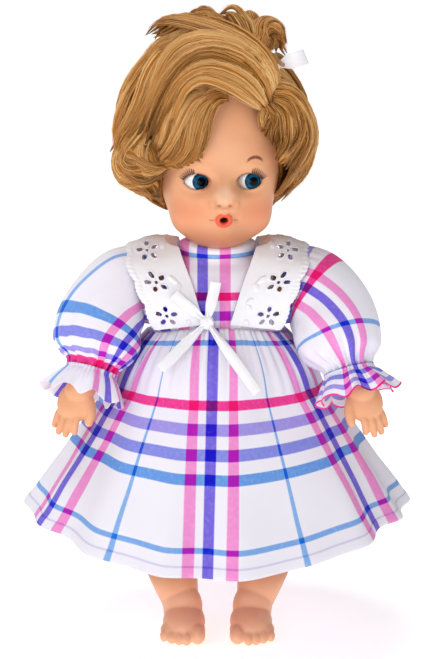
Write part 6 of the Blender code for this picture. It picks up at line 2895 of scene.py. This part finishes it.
    def mass(self) -> bpy.types.Object:
        """The thick under-mass, drawn in to the scalp round the face and kept dark as painted shade in the
        gaps between the locks.

        Returns:
            The piece.
        """
        shape = bmesh.new()
        shape.loops.layers.uv.new("cloth")
        bmesh.ops.create_uvsphere(shape, u_segments=180, v_segments=120, radius=1.0)
        gone = []
        for corner in shape.verts:
            way = corner.co.copy()
            full = self.form(way, -self.mass_inset)
            scalp = self.head.skull(way, self.scalp_gap)
            away = self.face_distance(scalp)
            corner.co = scalp.lerp(full, ease(away / self.face_fade) if full.y < 0.0 else 1.0)
            back = corner.co.y / self.foot_fade
            foot = self.trim + self.front_rise * ease(-back) - self.nape * ease(back)
            if (corner.co.y < self.face_depth and away < 0) or corner.co.z < foot:
                gone.append(corner)
        bmesh.ops.delete(shape, geom=gone, context="VERTS")
        layer = shape.loops.layers.uv.active
        for face in shape.faces:
            for loop in face.loops:
                spot = loop.vert.co - self.middle
                loop[layer].uv = (spot.x + spot.y, spot.z)
        mass = thicken("hair_mass", shape, self.mass_cloth)
        tone = mass.data.attributes.new("tone", "FLOAT", "POINT")
        tone.data.foreach_set("value", [self.mass_shade_tone] * len(mass.data.vertices))
        mass.data.transform(self.head.matrix)
        return mass

    def split(self, routes: Sequence, combing: Combing) -> list[Lock]:
        """Splits listed routes into finer locks.

        Args:
            routes: The routes, in millimetres.
            combing: How they are combed.

        Returns:
            The locks.
        """
        locks = []
        spread = combing.half_width * MM
        for route in routes:
            guide = Lock([Vector(point) * MM for point in route])
            for k in range(combing.locks):
                aside = (k - (combing.locks - 1) / 2) / max(combing.locks - 1, 1) * 2 * spread
                bent = self.waved(guide, aside, combing.wave * MM)
                half = spread / combing.locks * self.chance.uniform(1.5, 2.1)
                tone = self.chance.uniform(0.34, 0.74)
                twist = self.chance.uniform(-0.9, 0.9)
                deep = combing.half_depth * MM * self.chance.uniform(0.7, 1.1)
                locks.append(Lock(bent, half, deep, combing.strands, tone, twist))
        return locks

    def waved(self, guide: Lock, aside: float, wave: float) -> list[Vector]:
        """A route beside a guide, with its own wave.

        Args:
            guide: The listed route.
            aside: How far to its side.
            wave: How far the route waves.

        Returns:
            The route.
        """
        raised = self.chance.uniform(-1.6, 1.0) * MM
        fan = self.chance.uniform(0.7, 1.25)
        phase = self.chance.uniform(0, tau)
        bent = []
        for step in range(self.route_steps + 1):
            share = step / self.route_steps
            here, across, out = guide.axes_at(share, self.middle)
            spread = 0.55 + 0.45 * sin(pi * min(share * 1.1, 1.0)) * fan
            sway = wave * share * sin(phase + 11 * share)
            lift = raised * share - self.inset + 0.8 * wave * share * cos(phase + 10 * share)
            bent.append(here + across * (aside * spread + sway) + out * lift)
        for _ in range(self.smoothing):
            inner = [(a + b * 2 + c) / 4 for a, b, c in zip(bent, bent[1:], bent[2:])]
            bent = [bent[0], *inner, bent[-1]]
        return bent

    def back_locks(self) -> list[Lock]:
        """Locks that fall from the crown over the back and the sides.

        Returns:
            The locks.
        """
        locks = []
        for layer, (count, start, end) in enumerate(self.layers):
            for k in range(count):
                azimuth = radians(-28 + 236 * (k + self.chance.uniform(-0.3, 0.3)) / (count - 1))
                lift = (0.6 - layer * 0.9) * MM
                points = []
                for step in range(8):
                    share = step / 7
                    level = radians(start + (end - start) * share)
                    swing = azimuth + radians(16) * sin(2.6 * share + layer) * (1 - 0.4 * share)
                    way = ring_point(cos(level), cos(level), swing, sin(level))
                    curl = -3.5 * MM * ease((share - 0.8) / 0.2)
                    points.append(self.form(way, lift + curl - self.back_inset))
                half = self.chance.uniform(3.2, 4.6) * MM
                deep = self.chance.uniform(1.6, 2.2) * MM
                tone = self.chance.uniform(0.32, 0.70)
                twist = self.chance.uniform(-0.8, 0.8)
                locks.append(Lock(points, half, deep, self.back_strands, tone, twist))
        return locks

    def core(self, lock: Lock) -> bmesh.types.BMesh:
        """The soft core of one lock.

        Args:
            lock: The lock.

        Returns:
            The core.
        """

        def spot(around: float, share: float) -> Vector:
            """A point of the core.

            Args:
                around: The share of a turn.
                share: The share of the length.

            Returns:
                The point.
            """
            here, across, out = lock.axes_at(share, self.middle)
            angle = tau * around + lock.twist * share
            wide, deep = lock.fullness(share)
            side = across * cos(angle) * lock.half_width * wide
            return here + side + out * sin(angle) * lock.half_depth * deep

        shape = patch(12, 20, spot, lambda u, v: (u * 0.02, v * 0.05), True)
        bmesh.ops.remove_doubles(shape, verts=shape.verts, dist=1e-6)
        bmesh.ops.recalc_face_normals(shape, faces=shape.faces)
        return shape

    def cores(self, name: str, locks: Sequence[Lock]) -> bpy.types.Object:
        """The soft cores of a group of locks.

        Args:
            name: The piece's name.
            locks: The locks.

        Returns:
            The piece.
        """
        whole = bmesh.new()
        layer = whole.verts.layers.float.new("tone")
        for lock in locks:
            before = len(whole.verts)
            absorb(whole, self.core(lock))
            whole.verts.ensure_lookup_table()
            for corner in whole.verts[before:]:
                # Painted shade: the core is darker than the lock's strands.
                corner[layer] = lock.tone - self.core_shade
        core = place_piece(name, whole)
        core.data.transform(self.head.matrix)
        return core

    def strands(self, name: str, locks: Sequence[Lock]) -> bpy.types.Object:
        """The strands that lie over a group of locks.

        Args:
            name: The piece's name.
            locks: The locks.

        Returns:
            The piece.
        """
        tuft = Strands(name)
        last = self.strand_steps - 1
        for lock in locks:
            frames = [lock.axes_at(k / last, self.middle) for k in range(self.strand_steps)]
            for _ in range(lock.strands):
                self.strand(tuft, lock, frames)
        piece = tuft.piece()
        piece.data.transform(self.head.matrix)
        return piece

    def strand(self, tuft: Strands, lock: Lock, frames: Sequence[tuple[Vector, Vector, Vector]]) -> None:
        """Lays one strand over a lock, a few of them looser than the rest.

        Args:
            tuft: The tuft that it is added to.
            lock: The lock.
            frames: The lock's places, sideways and outward directions.
        """
        chance = self.chance
        upper = chance.random() < 0.85
        angle = chance.uniform(-0.25, pi + 0.25) if upper else chance.uniform(0, tau)
        out_by = chance.uniform(0.94, 1.30)
        loose = 3.0 if chance.random() < 0.05 else 1.0
        stray = chance.gauss(0, 0.55) * MM * loose
        lift = abs(chance.gauss(0, 0.25)) * MM * loose
        reach = chance.uniform(0.62, 1.0)
        splay = chance.gauss(0, 1.3) * MM
        tone = lock.tone + 0.12 * sin(6 * angle + 20 * lock.tone) + chance.gauss(0, 0.13)
        # Painted shade and light: strands that lie deeper in the lock are darker, those further out lighter.
        tone += 1.7 * (out_by - 1.10)
        points = []
        for k, (here, across, out) in enumerate(frames):
            share = k / (len(frames) - 1)
            wide, deep = lock.fullness(share * 0.93 + 0.02)
            turn = angle + lock.twist * share
            side = cos(turn) * lock.half_width * wide * out_by
            side += stray * sin(4 * share + angle) + splay * share ** 3
            up = sin(turn) * lock.half_depth * deep * out_by + lift * share
            points.append(here + across * side + out * up)
        kept = points[:int(len(frames) * reach)]
        tuft.add(kept, self.strand_radius * chance.uniform(0.75, 1.2), tone)

    def bow(self) -> None:
        """The satin bow at the tied lock."""
        satin = SatinRibbon("bow_satin").material()
        centre = node_middle("hair_bow_knot") + Vector(self.bow_shift) * MM
        shape = ball(centre, self.bow_knot)
        shape.loops.layers.uv.new("cloth")
        seat(dress(place_piece("bow_knot", shape), satin), "head", "hair_bow_knot")
        turn = self.head.matrix.to_3x3()
        side = turn @ Vector((1, 0, 0.30)).normalized()
        lean = turn @ Vector((-0.42, 0.10, 1)).normalized()
        ahead = side.cross(lean).normalized()
        start = centre + side * self.bow_out

        def spot(wide: float, share: float) -> Vector:
            """A point of the loop, which leaves the knot and comes back to it.

            Args:
                wide: The share of the width.
                share: The share of the length.

            Returns:
                The point.
            """
            angle = tau * share
            out = 0.5 * (1 - cos(angle))
            bulge = self.bow_bulge * sin(angle) * (0.35 + 0.65 * sin(pi * out * 0.8))
            across = (wide - 0.5) * self.bow_width * (0.5 + 0.5 * ease(out * 2.2))
            droop = 0.0012 * out * out - 0.0004 * sin(pi * wide)
            return start + side * self.bow_length * out + ahead * (bulge + droop) + lean * across

        loop = thicken("bow_loop", patch(14, 48, spot, lambda u, v: (u * 0.006, v * 0.03)), self.bow_cloth)
        seat(dress(loop, satin), "head", "hair_bow_loop")


@dataclass
class Mechanism:
    """The working parts inside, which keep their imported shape."""

    finishes: dict = field(default_factory=lambda: {
        "eye_axle": PlainFinish("axle_wire", "BDBEC0", 0.3, 1.0),
        "eye_yoke": PlainFinish("yoke_wire", "B4B5B8", 0.3, 1.0),
        "eye_weight": PlainFinish("cast_weight", "77797E", 0.6, 0.8),
        "eye_bracket": PlainFinish("moulded_bracket", "DAD8CF", 0.5),
        "drink_tube": PlainFinish("drinking_tube", "DDDACF", 0.4),
        "hip_link": PlainFinish("hip_rubber", "C9B89E", 0.7),
        "hair_band": PlainFinish("hair_elastic", "B58A55", 0.7),
    })

    def build(self) -> None:
        """Dresses each part."""
        for node, finish in self.finishes.items():
            dress(frame["nodes"][node], finish.material())
            LOG.info("%s keeps its packed shape", node)


def main() -> None:
    """Builds the doll piece by piece."""
    logging.basicConfig(level=logging.INFO, format="%(message)s")
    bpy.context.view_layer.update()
    Studio().build()
    body = Torso()
    body.build()
    Mechanism().build()
    head = Head()
    sweep = HeadSweep(head.build())
    Eyes(head).build()
    arms = Arms(body)
    arms.build()
    Legs().build()
    Dress(body).build()
    sleeves = Sleeves(body, arms)
    sleeves.build()
    for side in Side:
        collar = Collar(side, body, sweep).build()
        bend_piece(collar, side, *sleeves.collar_bend)
        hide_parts("collar_" + side.word)
    RibbonTie(body).build()
    Hair(head).build()


if __name__ == "__main__":
    main()
